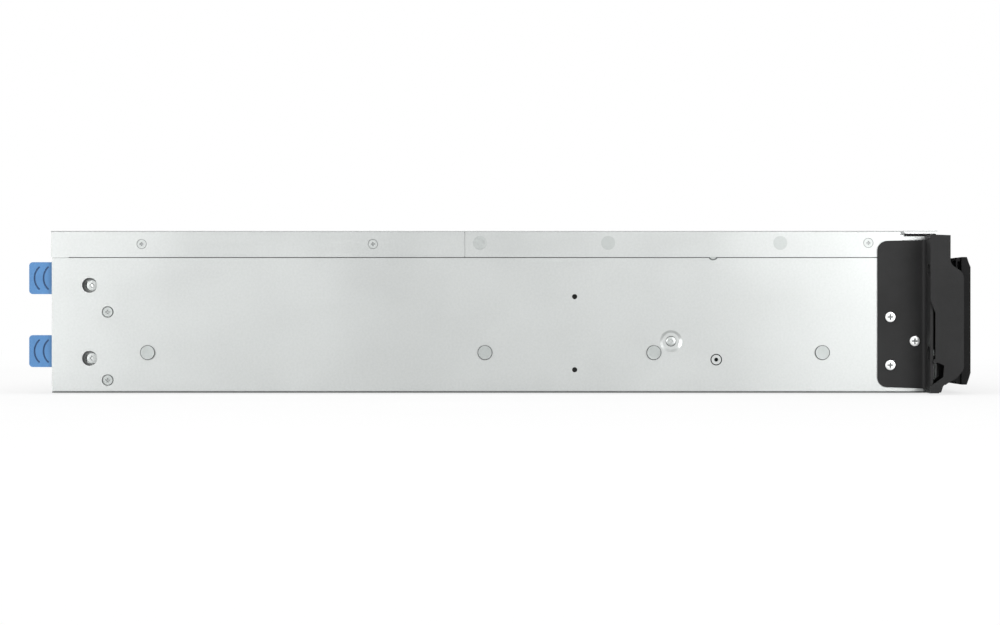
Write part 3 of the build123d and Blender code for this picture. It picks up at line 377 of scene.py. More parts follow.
for side, side_name in ((-1, "left"), (1, "right")):
    for model, spots in ((cover_screw, cover_screw_spots), (wall_screw, wall_screw_spots)):
        for number, (y, z) in enumerate(spots, start=1):
            place = (side * (wall_x - flat_head_height), y, z)
            name = f"{side_name}_{model.name}_{number}"
            case_screws.append(place_copy(model, name, place, face_side(side)))
place = (dish_depth - wall_x, *dish_screw_spot)
case_screws.append(place_copy(dish_screw, "left_dish_screw", place, face_side(-1)))
for screw in case_screws:
    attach(screw, "chassis")
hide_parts("case_screws")
for model in (cover_screw, wall_screw, dish_screw):
    bpy.data.objects.remove(model)


# Rail studs: headed pins pressed into the walls, which the slide rails hook on. Turned from
# steel bar and plated, with a small bevel round the head.
stud_ys = [188.5, 5.3, -86.4, -177.9]
stud_z = 21.85
stud_neck, stud_head = 0.5, 0.9
stud_neck_radius, stud_head_radius = 2.6, 4.0
stud_bevel, stud_face_inset, stud_face_depth = 0.32, 1.2, 0.02


def grow(height, widen=1.0):
    """Draw out the selected end of an upright round piece, then widen it."""
    bpy.ops.mesh.extrude_region_move(TRANSFORM_OT_translate={"value": (0, 0, height)})
    bpy.ops.transform.resize(value=(widen, widen, 1.0))


stud = model_disc("rail_stud", stud_neck_radius * mm, stud_neck * mm, steps=48)
pick(stud, lambda middle, normal: normal.z > 0.9)
grow(0.0, stud_head_radius / stud_neck_radius)
grow((stud_head - stud_bevel) * mm)
grow(stud_bevel * mm, 1 - stud_bevel / stud_head_radius)
bpy.ops.mesh.inset(thickness=stud_face_inset * mm, depth=-stud_face_depth * mm)
bpy.ops.object.mode_set(mode="OBJECT")
only(stud)
bpy.ops.object.shade_smooth_by_angle(angle=math.radians(30))
plate_screw(stud, zinc_plate)
rail_studs = []
for side, side_name in ((-1, "left"), (1, "right")):
    for number, y in enumerate(stud_ys, start=1):
        name = f"{side_name}_rail_stud_{number}"
        rail_studs.append(place_copy(stud, name, (side * wall_x, y, stud_z), face_side(side)))
for pin in rail_studs:
    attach(pin, "chassis")
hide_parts("rail_studs")
bpy.data.objects.remove(stud)


# Spot rivets and a press nut: flat rivet heads in the flange of the covers, and a nut pressed
# into the wall with only its ring showing round the hole.
rivet_spots = [(8.0, 81.4), (-61.6, 81.4), (-155.1, 81.4)]
rivet_radius, rivet_height, rivet_rim, rivet_rise = 3.8, 0.05, 0.3, 0.01
nut_spot = (-120.3, 18.0)
nut_radius, nut_hole_radius, nut_groove, nut_height = 3.15, 1.1, 0.55, 0.12
barrel_radius, barrel_height, barrel_depth = 2.4, 2.4, 3.8
barrel_rim, barrel_rise, bore_slip = 0.5, 0.15, 0.05
rivet_dark = (0.375, 0.393, 0.386, 1.0)
rivet_light = (0.395, 0.413, 0.406, 1.0)
hole_dark = (0.004, 0.004, 0.004, 1.0)
hole_light = (0.008, 0.008, 0.008, 1.0)
rivet_face = make_plate("rivet_face", rivet_dark, rivet_light)
hole_shade = make_plate("hole_shade", hole_dark, hole_light)
rivet = model_disc("cover_rivet", rivet_radius * mm, rivet_height * mm, steps=48)
pick(rivet, lambda middle, normal: normal.z > 0.9)
bpy.ops.mesh.inset(thickness=rivet_rim * mm, depth=rivet_rise * mm)
bpy.ops.object.mode_set(mode="OBJECT")
for side, side_name in ((-1, "left"), (1, "right")):
    for number, spot in enumerate(rivet_spots, start=1):
        name = f"{side_name}_cover_rivet_{number}"
        head = place_copy(rivet, name, (side * wall_x, *spot), face_side(side))
        head.data.materials.append(rivet_face)
        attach(head, "chassis")
bpy.data.objects.remove(rivet)

# Painted shade: the groove round the ring and the hole take the near-black hole_shade.
nut = model_disc("press_nut_ring", nut_radius * mm, nut_height * mm)
pick(nut, lambda middle, normal: abs(normal.z) > 0.9)
bpy.ops.mesh.inset(thickness=nut_groove * mm, use_individual=True)
bpy.ops.mesh.inset(thickness=(nut_radius - nut_groove - nut_hole_radius) * mm, use_individual=True)
bpy.ops.mesh.bridge_edge_loops()
bpy.ops.object.mode_set(mode="OBJECT")
nut.data.materials.append(zinc_sheet)
coat(nut, hole_shade, lambda middle, normal: middle.xy.length > (nut_radius - nut_groove) * mm)
coat(nut, hole_shade, lambda middle, normal: middle.xy.length < (nut_hole_radius + bore_slip) * mm)
nut.location, nut.rotation_euler = Vector((-wall_x, *nut_spot)) * mm, face_side(-1)
settle(nut)
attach(nut, "chassis")

# The black barrel behind the hole is painted shade, standing in for the dark inside of the hole.
barrel = model_disc("press_nut_barrel", barrel_radius * mm, barrel_height * mm)
pick(barrel, lambda middle, normal: normal.z > 0.9)
bpy.ops.mesh.inset(thickness=barrel_rim * mm, depth=barrel_rise * mm)
bpy.ops.object.mode_set(mode="OBJECT")
barrel.location = Vector((barrel_depth - wall_x, *nut_spot)) * mm
barrel.rotation_euler = face_side(-1)
settle(barrel)
barrel.data.materials.append(hole_shade)
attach(barrel, "chassis")


# Cage screw: it holds the drive cage to the wall, and the front cover hides its upper half.
# Zinc-plated steel, sunk a little below the wall.
seam_screw_spot, seam_screw_depth = (-118.6, 74.9), 1.1
seam_head_radius, seam_unshaded_radius, seam_head_height = 2.98, 2.3, 0.6
seam_screw = model_screw(
    "seam_screw", seam_head_radius * mm, seam_head_height * mm, 0.0, cross=0.6, rim=0.26
)
plate_screw(seam_screw, zinc_plate, recess_shade_plate, seam_unshaded_radius * mm)
seam_screw.location = Vector((seam_screw_depth - wall_x, *seam_screw_spot)) * mm
seam_screw.rotation_euler = face_side(-1)
settle(seam_screw)
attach(seam_screw, "chassis")


# Painted shade: a black strip on each wall stands in for the shadow in the gap under the
# front plate, and its lip folds down over the top edge of the wall.
shade_strip_low, shade_strip_high = (217.0, -239.6, 85.85), (218.98, -222.6, 86.38)
lip_thickness, lip_drop, shade_strip_edge = 0.14, 0.75, 0.05
for side, side_name in ((-1, "left"), (1, "right")):
    size = [(high - low) * mm for low, high in zip(shade_strip_low, shade_strip_high)]
    x, y, z = [(high + low) / 2 * mm for low, high in zip(shade_strip_low, shade_strip_high)]
    shade_strip = model_block(size, (side * x, y, z))
    shade_strip.name = f"{side_name}_gasket"
    pick(shade_strip, lambda middle, normal: normal.x * side > 0.9)
    lip_step = (side * lip_thickness * mm, 0, 0)
    bpy.ops.mesh.extrude_region_move(TRANSFORM_OT_translate={"value": lip_step})
    bpy.ops.object.mode_set(mode="OBJECT")
    pick(shade_strip, lambda middle, normal: normal.z < -0.9 and abs(middle.x) > shade_strip_high[0] * mm)
    grow(-lip_drop * mm)
    bpy.ops.object.mode_set(mode="OBJECT")
    round_edges(shade_strip, shade_strip_edge * mm)
    shade_strip.data.materials.append(hole_shade)
    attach(shade_strip, "chassis")


# Midplane: a circuit board across the case, with moulded plugs towards the drives and the
# modules. Glass fibre under a green solder mask.
mask_dark = (0.012, 0.075, 0.035, 1.0)
mask_light = (0.02, 0.13, 0.06, 1.0)
plug_colour_dark = (0.012, 0.012, 0.013, 1.0)
plug_colour_light = (0.022, 0.022, 0.024, 1.0)
board_front, board_rear = -110.0, -107.6
tracks_per_metre, weave_per_metre = 700.0, 3000.0
cloud_per_metre, grain_per_metre, grain_roughness = 60.0, 4200.0, 0.06


def make_board_finish():
    """Solder mask: satin green, with the copper under it showing as straight paler tracks."""
    finish, tree, shader = new_finish("solder_mask", specular=0.5)
    tracks = add_noise(tree, tracks_per_metre, stretch=(1.0, 1.0, 0.04), detail=0.0)
    weave = add_noise(tree, weave_per_metre)
    tint(tree, tracks, mask_dark, mask_light, shader.inputs["Base Color"], 0.48, 0.52)
    grade(tree, weave, 0.3, 0.42, shader.inputs["Roughness"])
    emboss(tree, weave, 0.01 * mm, shader)
    return finish


def make_moulding(name, dark, light, roughness, grain=0.02, specular=0.4):
    """Moulded plastic or powder coat: an even colour under a fine grain."""
    finish, tree, shader = new_finish(name, specular=specular)
    cloud = add_noise(tree, cloud_per_metre, detail=5.0)
    fine = add_noise(tree, grain_per_metre, detail=2.0)
    low, high = roughness - grain_roughness, roughness + grain_roughness
    tint(tree, cloud, dark, light, shader.inputs["Base Color"])
    grade(tree, fine, low, high, shader.inputs["Roughness"])
    emboss(tree, fine, grain * mm, shader)
    return finish


def take_solids(node):
    """The solids of a CAD node as merged meshes of their own, from the front to the rear."""
    copy = bpy.data.objects.new(node + "_finish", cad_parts[node].data.copy())
    bpy.context.collection.objects.link(copy)
    copy.data.materials.clear()
    only(copy)
    bpy.ops.object.mode_set(mode="EDIT")
    bpy.ops.mesh.select_all(action="SELECT")
    bpy.ops.mesh.remove_doubles(threshold=0.002 * mm)
    bpy.ops.mesh.dissolve_limited(angle_limit=math.radians(0.5))
    bpy.ops.mesh.separate(type="LOOSE")
    bpy.ops.object.mode_set(mode="OBJECT")
    solids = bpy.context.selected_objects
    return sorted(solids, key=lambda solid: min(vertex.co.y for vertex in solid.data.vertices))


def keep_piece(piece, name, body):
    """Name a finished piece and let it ride."""
    piece.name = name
    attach(piece, body)


solder_mask = make_board_finish()
plug_plastic = make_moulding("plug_plastic", plug_colour_dark, plug_colour_light, 0.45)
midplane = take_solids("midplane_board")[0]
midplane.data.materials.append(solder_mask)
board_start, board_end = board_front * mm - 1e-6, board_rear * mm + 1e-6
coat(midplane, plug_plastic, lambda middle, normal: not board_start < middle.y < board_end)
keep_piece(midplane, "midplane", "chassis")
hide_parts("midplane_board")


# Drive trays: a moulded face with two sheet-steel rails and a drive between them. The lever
# in front of the face is glass-filled nylon, a little smoother than the face.
bay_count, bay_pitch = 24, 17.6
tray_back, cap_front = -240.6, -246.0
tray_edge, drive_edge, lever_edge = 0.2, 0.3, 0.3
lens_radius, lens_height, lens_rim, lens_rise = 0.9, 0.25, 0.3, 0.12
lens_z, lens_spread = 79.5, 3.6
lever_panel_low, lever_panel_high = 35.0, 43.0
lever_border, lever_panel_bevel, lever_panel_depth = 2.2, 0.5, 0.7
face_front = (math.pi / 2, 0.0, 0.0)
casting_per_metre, frost_per_metre = 1800.0, 5000.0
tray_colour_dark = (0.010, 0.010, 0.0105, 1.0)
tray_colour_light = (0.016, 0.016, 0.017, 1.0)
lever_colour_dark = (0.004, 0.004, 0.0042, 1.0)
lever_colour_light = (0.007, 0.007, 0.0073, 1.0)
cast_dark = (0.34, 0.34, 0.345, 1.0)
cast_light = (0.44, 0.44, 0.445, 1.0)
lens_colour_dark = (0.55, 0.60, 0.56, 1.0)
lens_colour_light = (0.70, 0.75, 0.70, 1.0)
tray_plastic = make_moulding("tray_plastic", tray_colour_dark, tray_colour_light, 0.55)
lever_plastic = make_moulding(
    "lever_plastic", lever_colour_dark, lever_colour_light, 0.5, grain=0.012, specular=0.11
)


def make_drive_finish():
    """Die-cast drive housing: pale grey metal with a fine blasted grain."""
    finish, tree, shader = new_finish("drive_casting", metallic=0.8)
    grain = add_noise(tree, casting_per_metre, detail=5.0)
    tint(tree, grain, cast_dark, cast_light, shader.inputs["Base Color"])
    grade(tree, grain, 0.35, 0.5, shader.inputs["Roughness"])
    emboss(tree, grain, 0.015 * mm, shader)
    return finish


def make_lens_finish():
    """Light guide: clear plastic with a frosted end."""
    finish, tree, shader = new_finish("light_guide", specular=0.6)
    frost = add_noise(tree, frost_per_metre)
    tint(tree, frost, lens_colour_dark, lens_colour_light, shader.inputs["Base Color"])
    grade(tree, frost, 0.15, 0.3, shader.inputs["Roughness"])
    shader.inputs["Transmission Weight"].default_value = 0.35
    return finish


drive_casting = make_drive_finish()
light_guide = make_lens_finish()
lens = model_disc("tray_lens", lens_radius * mm, lens_height * mm, steps=16)
pick(lens, lambda middle, normal: normal.z > 0.9)
bpy.ops.mesh.inset(thickness=lens_rim * mm, depth=lens_rise * mm)
bpy.ops.object.mode_set(mode="OBJECT")
only(lens)
bpy.ops.object.shade_smooth_by_angle(angle=math.radians(50))


def finish_lever(lever, number, body):
    """Press a shallow panel into the front of a lever and round its edges."""
    low, high = lever_panel_low * mm, lever_panel_high * mm
    only(lever)
    pick(lever, lambda middle, normal: normal.y < -0.98 and low < middle.z < high)
    bpy.ops.mesh.inset(thickness=lever_border * mm)
    bpy.ops.mesh.inset(thickness=lever_panel_bevel * mm, depth=-lever_panel_depth * mm)
    bpy.ops.object.mode_set(mode="OBJECT")
    round_edges(lever, lever_edge * mm)
    lever.data.materials.append(lever_plastic)
    keep_piece(lever, f"tray_lever_bar_{number:02d}", body)


for number in range(1, bay_count + 1):
    body = f"drive_tray_{number:02d}"
    solids = take_solids(body)
    if number > 1:
        finish_lever(solids.pop(0), number, body)
    tray, drive = solids
    round_edges(tray, tray_edge * mm)
    tray.data.materials.append(tray_plastic)
    coat(tray, zinc_sheet, lambda middle, normal: middle.y > tray_back * mm + 1e-6)
    keep_piece(tray, f"tray_face_{number:02d}", body)
    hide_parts(body)
    round_edges(drive, drive_edge * mm)
    drive.data.materials.append(drive_casting)
    keep_piece(drive, f"drive_{number:02d}", body)
    centre_x = (number - (bay_count + 1) / 2) * bay_pitch
    for side, side_name in ((-1, "left"), (1, "right")):
        place = (centre_x + side * lens_spread, cap_front, lens_z)
        eye = place_copy(lens, f"tray_{side_name}_lens_{number:02d}", place, face_front)
        eye.data.materials.append(light_guide)
        keep_piece(eye, eye.name, body)
bpy.data.objects.remove(lens)
first_lever = take_solids("tray_lever_01")[0]
finish_lever(first_lever, 1, "tray_lever_01")
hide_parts("tray_lever_01")


# Rack ears: a bent steel bracket under black powder coat on each wall, and a hollow moulded
# cover in front of its flange. The right cover carries the button and the lights.
coat_dark = (0.007, 0.007, 0.0072, 1.0)
coat_light = (0.011, 0.011, 0.0113, 1.0)
cover_colour_dark = (0.006, 0.006, 0.0062, 1.0)
cover_colour_light = (0.009, 0.009, 0.0093, 1.0)
bracket_edge, cover_edge = 0.35, 0.5


def finish_solid(node, edge, finish):
    """The solid of a CAD node with its edges rounded and its finish on."""
    piece = take_solids(node)[0]
    round_edges(piece, edge * mm)
    piece.data.materials.append(finish)
    return piece


powder_coat = make_moulding("powder_coat", coat_dark, coat_light, 0.62, grain=0.03, specular=0.3)
cover_plastic = make_moulding(
    "cover_plastic", cover_colour_dark, cover_colour_light, 0.55, specular=0.25
)
for side_name in ("left", "right"):
    bracket = finish_solid(f"{side_name}_ear_bracket", bracket_edge, powder_coat)
    keep_piece(bracket, f"{side_name}_ear_plate", "chassis")
    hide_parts(f"{side_name}_ear_bracket")
    cover = finish_solid(f"{side_name}_ear_cover", cover_edge, cover_plastic)
    keep_piece(cover, f"{side_name}_ear_moulding", "chassis")
    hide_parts(f"{side_name}_ear_cover")


# Ear screws: three pan heads through each bracket into the wall, bright zinc on steel with
# a cross recess.
ear_screw_spots = [(-214.6, 41.15), (-227.9, 28.1), (-214.6, 15.06)]
ear_sheet = 1.2
pan_radius, pan_height, pan_crown = 2.85, 0.45, 0.45
pan_screw = model_screw(
    "ear_screw", pan_radius * mm, pan_height * mm, pan_crown * mm, cross=1.25
)
# Painted shade on the sides, rim and recess floor of the ear screws.
plate_screw(pan_screw, bright_plate, shade_plate)
for side, side_name in ((-1, "left"), (1, "right")):
    for number, spot in enumerate(ear_screw_spots, start=1):
        place = (side * (wall_x + ear_sheet), *spot)
        head = place_copy(pan_screw, f"{side_name}_ear_screw_{number}", place, face_side(side))
        keep_piece(head, head.name, "chassis")
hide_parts("ear_screws")
bpy.data.objects.remove(pan_screw)


# Rack screws: captive thumb screws that wait in the ear covers. Turned steel with a coarse
# knurl round the head and a cross recess for a driver.
rack_hole_x, rack_screw_z = 232.55, 21.85
thumb_front, thumb_rear, thumb_end = -251.2, -244.8, -236.0
knurl_radius, thumb_shaft_radius = 5.0, 2.5
knurl_teeth, knurl_height, knurl_bevel = 32, 0.25, 0.12
thumb_crown, crown_inset, dimple_inset, dimple_depth = 0.3, 0.6, 0.9, 0.15
thumb_chamfer, chamfer_widen = 0.4, 0.84
thumb_cross_length, thumb_cross_width, thumb_cross_depth = 4.4, 1.3, 1.2
core_radius = knurl_radius - knurl_height
tooth_turn = math.pi / knurl_teeth


def is_tooth(middle, normal):
    """Every second side face of the head."""
    place = math.atan2(middle.y, middle.x) / tooth_turn - 0.5
    return abs(normal.z) < 0.1 and middle.z > 0 and round(place) % 2 == 0


head_length = thumb_rear - thumb_front - thumb_crown
thumb = model_disc("thumb_screw", core_radius * mm, head_length * mm, steps=2 * knurl_teeth)
pick(thumb, lambda middle, normal: normal.z < -0.9)
bpy.ops.mesh.inset(thickness=(core_radius - thumb_shaft_radius) * mm)
grow((thumb_rear - thumb_end + thumb_chamfer) * mm)
grow(-thumb_chamfer * mm, chamfer_widen)
bpy.ops.object.mode_set(mode="OBJECT")
pick(thumb, is_tooth)
bpy.ops.mesh.inset(thickness=knurl_bevel * mm, depth=knurl_height * mm, use_individual=True)
bpy.ops.object.mode_set(mode="OBJECT")
pick(thumb, lambda middle, normal: normal.z > 0.999 and middle.z > head_length / 2 * mm)
bpy.ops.mesh.inset(thickness=crown_inset * mm, depth=thumb_crown * mm)
bpy.ops.mesh.inset(thickness=dimple_inset * mm, depth=-dimple_depth * mm)
bpy.ops.object.mode_set(mode="OBJECT")
press_cross(
    thumb,
    (head_length + thumb_crown - dimple_depth) * mm,
    thumb_cross_length * mm,
    thumb_cross_width * mm,
    thumb_cross_depth * mm,
)
only(thumb)
bpy.ops.object.shade_smooth_by_angle(angle=math.radians(30))
# Painted shade on all of the thumb screw below the top of its head.
plate_screw(thumb, bright_plate, shade_plate)
for side, side_name in ((-1, "left"), (1, "right")):
    place = (side * rack_hole_x, thumb_rear, rack_screw_z)
    screw = place_copy(thumb, f"{side_name}_thumb_screw", place, face_front)
    keep_piece(screw, screw.name, f"{side_name}_rack_screw")
    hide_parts(f"{side_name}_rack_screw")
bpy.data.objects.remove(thumb)


# Power button and status lights: a moulded key behind the front wall of the right cover, and
# three light guides pressed in beside it.
button_dark = (0.05, 0.052, 0.055, 1.0)
button_light = (0.07, 0.072, 0.075, 1.0)
button_edge, light_edge = 0.4, 0.2
button_plastic = make_moulding("button_plastic", button_dark, button_light, 0.35)
button = finish_solid("power_button", button_edge, button_plastic)
keep_piece(button, "power_key", "power_button")
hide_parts("power_button")
lights = take_solids("status_lights")
for number, guide in enumerate(lights, start=1):
    round_edges(guide, light_edge * mm)
    guide.data.materials.append(light_guide)
    keep_piece(guide, f"status_light_{number}", "chassis")
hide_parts("status_lights")


# Controllers: two sheet-metal sleds at the rear, each with a circuit board, its sockets, two
# fans and a pair of ejector levers.
levels = (("lower", 2.2), ("upper", 41.9))
board_top = 6.7
port_starts, port_width = (-76.0, -59.6), 16.4
contact_count, contact_pitch = 8, 1.1
contact_width, contact_length, contact_thickness = 0.45, 7.0, 0.35
contact_rear, contact_lift, contact_bend = 232.0, 1.4, (0.0, 1.0, 0.8)
gold_dark = (0.62, 0.42, 0.13, 1.0)
gold_light = (0.72, 0.50, 0.17, 1.0)
ejector_edge, fan_edge = 0.4, 0.2
ejector_dark = (0.014, 0.014, 0.015, 1.0)
ejector_light = (0.022, 0.022, 0.023, 1.0)
ejector_plastic = make_moulding("ejector_plastic", ejector_dark, ejector_light, 0.45)
fan_plastic = make_moulding("fan_plastic", plug_colour_dark, plug_colour_light, 0.4)
gold_plate = make_plate("gold_plate", gold_dark, gold_light)
contacts = []
for number in range(contact_count):
    x = (number - (contact_count - 1) / 2) * contact_pitch
    size = Vector((contact_width, contact_length, contact_thickness)) * mm
    contact = model_block(size, (x * mm, 0, 0))
    pick(contact, lambda middle, normal: normal.y > 0.9)
    bpy.ops.mesh.extrude_region_move(TRANSFORM_OT_translate={"value": Vector(contact_bend) * mm})
    bpy.ops.object.mode_set(mode="OBJECT")
    contacts.append(contact)
only(*contacts)
bpy.ops.object.join()
comb = bpy.context.active_object
for level_name, lift in levels:
    body = f"{level_name}_controller"
    dress(zinc_sheet, f"{level_name}_controller_case")
    for number, start in enumerate(port_starts, start=1):
        z = lift + board_top + contact_lift
        place = (start + port_width / 2, contact_rear - contact_length / 2, z)
        springs = place_copy(comb, f"{level_name}_port_contacts_{number}", place)
        springs.data.materials.append(gold_plate)
        keep_piece(springs, springs.name, body)
    board = take_solids(f"{level_name}_controller_board")[0]
    board.data.materials.append(solder_mask)
    top = (lift + board_top) * mm + 1e-6
    coat(board, zinc_plate, lambda middle, normal: middle.z > top)
    keep_piece(board, f"{level_name}_circuit_board", body)
    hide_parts(f"{level_name}_controller_board")
    for side_name in ("left", "right"):
        node = f"{level_name}_{side_name}_ejector"
        ejector = finish_solid(node, ejector_edge, ejector_plastic)
        keep_piece(ejector, node + "_lever", node)
        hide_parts(node)
    for number in (1, 2):
        node = f"{level_name}_controller_fan_{number}"
        fan = finish_solid(node, fan_edge, fan_plastic)
        keep_piece(fan, node + "_rotor", node)
        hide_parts(node)
bpy.data.objects.remove(comb)


# Power supplies: two folded steel boxes beside the controllers, each with a mains inlet, a
# moulded handle, a fan and a sprung release latch in blue plastic.
blue_dark = (0.058, 0.18, 0.39, 1.0)
blue_light = (0.070, 0.21, 0.44, 1.0)
groove_dark = (0.015, 0.055, 0.14, 1.0)
groove_light = (0.02, 0.07, 0.17, 1.0)
shade_sheet_dark = (0.004, 0.004, 0.004, 1.0)
shade_sheet_light = (0.007, 0.007, 0.007, 1.0)
inlet_edge, handle_edge, latch_edge = 0.2, 0.4, 0.08
supply_side = -216.2
tab_start_y, groove_floor = 238.0, (-215.8, -214.9)
supply_screw_place, screw_slip = (-213.8, 220.05, 16.5), 0.8
supply_head_radius, supply_head_height, supply_crown = 3.05, 0.45, 0.2
gauge_place = (-43.4, 10.3)
shade_sheet_size, shade_sheet_thickness, shade_sheet_border, shade_sheet_rise = (22.0, 14.0), 0.2, 1.0, 0.05
blade_places = ((-176.7, 13.15), (-176.7, 25.15), (-171.5, 19.15))
blade_front, blade_reach_x, blade_reach_z = 221.7, 2.1, 1.1


def in_groove(middle, normal):
    """The floors of the grooves that are pressed into the outside of a latch's tab."""
    floor_start, floor_end = groove_floor
    faces_out = normal.x < -0.9 and middle.y > tab_start_y * mm
    return faces_out and floor_start * mm < middle.x < floor_end * mm


def on_blade(middle, lift):
    """Whether a face of a mains inlet is on one of its blades."""
    return middle.y > blade_front * mm and any(
        abs(middle.x - x * mm) < blade_reach_x * mm
        and abs(middle.z - (z + lift) * mm) < blade_reach_z * mm
        for x, z in blade_places
    )


blue_plastic = make_moulding("blue_plastic", blue_dark, blue_light, 0.4, grain=0.01)
groove_shade_blue = make_moulding("groove_shade_blue", groove_dark, groove_light, 0.5, grain=0.01)
shade_sheet_plastic = make_moulding("shade_sheet_plastic", shade_sheet_dark, shade_sheet_light, 0.6)
supply_screw = model_screw(
    "supply_screw",
    supply_head_radius * mm,
    supply_head_height * mm,
    supply_crown * mm,
    cross=0.9,
)
plate_screw(supply_screw, clean_plate, recess_shade_plate)
for level_name, lift in levels:
    body = f"{level_name}_supply"
    x, y, z = supply_screw_place
    place = (x, y - screw_slip, z + lift)
    screw = place_copy(supply_screw, f"{level_name}_supply_screw", place, face_side(-1))
    keep_piece(screw, screw.name, body)
    # Painted shade: a black sheet behind each gauge hole in the wall stands in for the dark inside
    # of the hole.
    place = (supply_side - shade_sheet_thickness / 2, gauge_place[0], gauge_place[1] + lift)
    shade_sheet = model_block(Vector((shade_sheet_thickness, *shade_sheet_size)) * mm, Vector(place) * mm)
    pick(shade_sheet, lambda middle, normal: normal.x < -0.9)
    bpy.ops.mesh.inset(thickness=shade_sheet_border * mm, depth=shade_sheet_rise * mm)
    bpy.ops.object.mode_set(mode="OBJECT")
    shade_sheet.data.materials.append(shade_sheet_plastic)
    keep_piece(shade_sheet, f"{level_name}_insulating_film", body)
    case, *rear_parts = take_solids(f"{level_name}_supply_case")
    case.data.materials.append(zinc_sheet)
    keep_piece(case, f"{level_name}_supply_box", body)
    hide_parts(f"{level_name}_supply_case")
    inlet, handle = rear_parts
    round_edges(inlet, inlet_edge * mm)
    inlet.data.materials.append(plug_plastic)
    coat(inlet, bright_plate, lambda middle, normal: on_blade(middle, lift))
    keep_piece(inlet, f"{level_name}_mains_inlet", body)
    round_edges(handle, handle_edge * mm)
    handle.data.materials.append(ejector_plastic)
    keep_piece(handle, f"{level_name}_supply_handle", body)
    latch = take_solids(f"{level_name}_supply_latch")[0]
    latch.data.materials.append(blue_plastic)
    # Painted shade: the groove floors take a darker blue.
    coat(latch, groove_shade_blue, in_groove)
    round_edges(latch, latch_edge * mm)
    keep_piece(latch, f"{level_name}_release_latch", f"{level_name}_supply_latch")
    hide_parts(f"{level_name}_supply_latch")
    fan = finish_solid(f"{level_name}_supply_fan", fan_edge, fan_plastic)
    keep_piece(fan, f"{level_name}_supply_rotor", f"{level_name}_supply_fan")
    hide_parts(f"{level_name}_supply_fan")
bpy.data.objects.remove(supply_screw)


# Studio: a pale floor under the case, a white surround, and soft lamps above and beyond both
# ends, so that the wall is brighter towards its ends. The camera looks square at the wall.
floor_size, floor_drop = 8.0, 0.0005
fade_start, fade_end, near_share = 0.7, 1.6, 0.75
floor_dark = (0.92, 0.92, 0.92, 1.0)
floor_light = (0.95, 0.95, 0.95, 1.0)
surround_light = 0.45
camera_place = (-1.969, -0.00285, 0.0436)
camera_lens, camera_sensor = 116.0, 36.0
lamps = (
    ("lamp_above", (0.0, 0.0, 1.8), 1.6, 14.0),
    ("lamp_rear_end", (-1.9, 1.12, 0.35), 0.8, 18.2),
    ("lamp_front_end", (-1.9, -0.95, 0.35), 0.8, 16.2),
    ("lamp_far_side", (1.8, 0.0, 0.8), 1.2, 10.0),
)


def make_floor_finish():
    """Pale floor that keeps the shadow near the case and fades to white further out."""
    finish, tree, shader = new_finish("floor_paint", specular=0.1)
    shader.inputs["Roughness"].default_value = 0.9
    shade = add_noise(tree, 3.0)
    tint(tree, shade, floor_dark, floor_light, shader.inputs["Base Color"])
    glow = tree.nodes.new("ShaderNodeEmission")
    rays = tree.nodes.new("ShaderNodeLightPath")
    place = tree.nodes.new("ShaderNodeTexCoord")
    reach = tree.nodes.new("ShaderNodeVectorMath")
    reach.operation = "LENGTH"
    tree.links.new(place.outputs["Object"], reach.inputs[0])
    fade = tree.nodes.new("ShaderNodeMapRange")
    fade.inputs["From Min"].default_value = fade_start
    fade.inputs["From Max"].default_value = fade_end
    fade.inputs["To Min"].default_value = near_share
    tree.links.new(reach.outputs["Value"], fade.inputs["Value"])
    share = tree.nodes.new("ShaderNodeMath")
    share.operation = "MULTIPLY"
    tree.links.new(fade.outputs["Result"], share.inputs[1])
    mix = tree.nodes.new("ShaderNodeMixShader")
    tree.links.new(rays.outputs["Is Camera Ray"], share.inputs[0])
    tree.links.new(share.outputs["Value"], mix.inputs["Fac"])
    tree.links.new(shader.outputs["BSDF"], mix.inputs[1])
    tree.links.new(glow.outputs["Emission"], mix.inputs[2])
    tree.links.new(mix.outputs["Shader"], tree.nodes["Material Output"].inputs["Surface"])
    return finish


bpy.ops.object.select_all(action="DESELECT")
bpy.ops.mesh.primitive_plane_add(size=floor_size, location=(0, 0, -floor_drop))
floor = bpy.context.active_object
floor.name = "floor"
floor.data.materials.append(make_floor_finish())

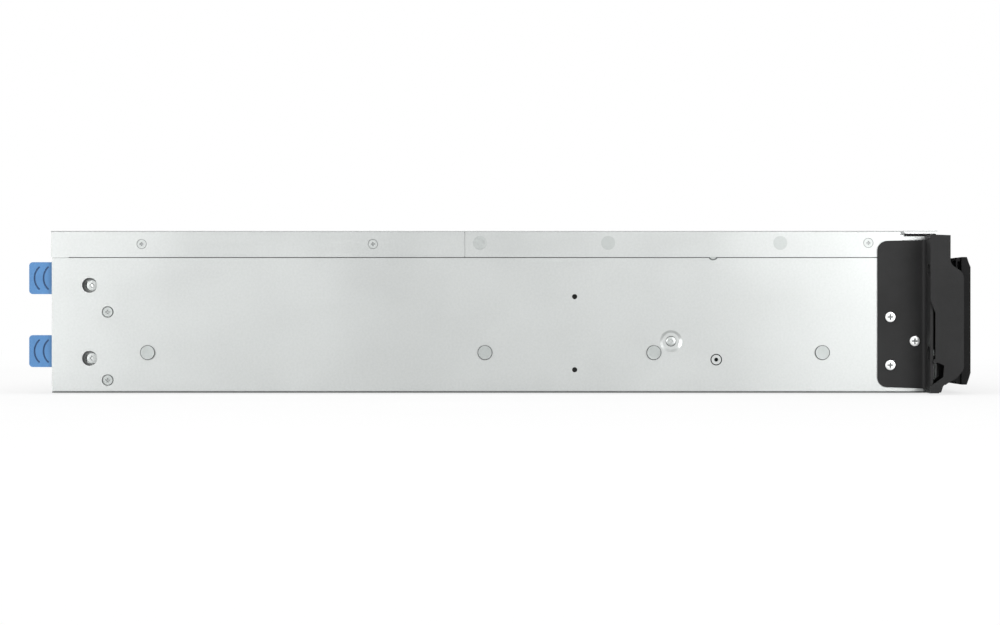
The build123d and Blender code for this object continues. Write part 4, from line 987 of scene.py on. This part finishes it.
world = bpy.data.worlds.new("surround")
world.use_nodes = True
bpy.context.scene.world = world
sky = world.node_tree
ambient = sky.nodes["Background"]
ambient.inputs["Color"].default_value = (1.0, 1.0, 1.0, 1.0)
ambient.inputs["Strength"].default_value = surround_light
white = sky.nodes.new("ShaderNodeBackground")
white.inputs["Color"].default_value = (1.0, 1.0, 1.0, 1.0)
white.inputs["Strength"].default_value = 1.0
eye_rays = sky.nodes.new("ShaderNodeLightPath")
direct = sky.nodes.new("ShaderNodeMath")
direct.operation = "MAXIMUM"
seen = sky.nodes.new("ShaderNodeMath")
seen.operation = "MAXIMUM"
sky_mix = sky.nodes.new("ShaderNodeMixShader")
sky.links.new(eye_rays.outputs["Is Camera Ray"], direct.inputs[0])
sky.links.new(eye_rays.outputs["Is Glossy Ray"], direct.inputs[1])
sky.links.new(direct.outputs["Value"], seen.inputs[0])
sky.links.new(eye_rays.outputs["Is Transmission Ray"], seen.inputs[1])
sky.links.new(seen.outputs["Value"], sky_mix.inputs["Fac"])
sky.links.new(ambient.outputs["Background"], sky_mix.inputs[1])
sky.links.new(white.outputs["Background"], sky_mix.inputs[2])
sky.links.new(sky_mix.outputs["Shader"], sky.nodes["World Output"].inputs["Surface"])


def hang_lamp(name, place, size, watts, aim=(0.0, 0.0, 0.05)):
    """A soft square lamp that looks at the case."""
    light = bpy.data.lights.new(name, "AREA")
    light.shape, light.size, light.energy = "SQUARE", size, watts
    lamp = bpy.data.objects.new(name, light)
    bpy.context.collection.objects.link(lamp)
    lamp.location = place
    lamp.rotation_euler = (Vector(aim) - Vector(place)).to_track_quat("-Z", "Y").to_euler()
    lamp.visible_camera = False


for lamp_name, place, size, watts in lamps:
    hang_lamp(lamp_name, place, size, watts)

camera = bpy.data.cameras.new("camera")
camera.lens, camera.sensor_width = camera_lens, camera_sensor
viewer = bpy.data.objects.new("camera", camera)
bpy.context.collection.objects.link(viewer)
viewer.location = camera_place
viewer.rotation_euler = (math.pi / 2, 0.0, -math.pi / 2)
bpy.context.scene.camera = viewer
bpy.context.scene.view_settings.view_transform = "Standard"
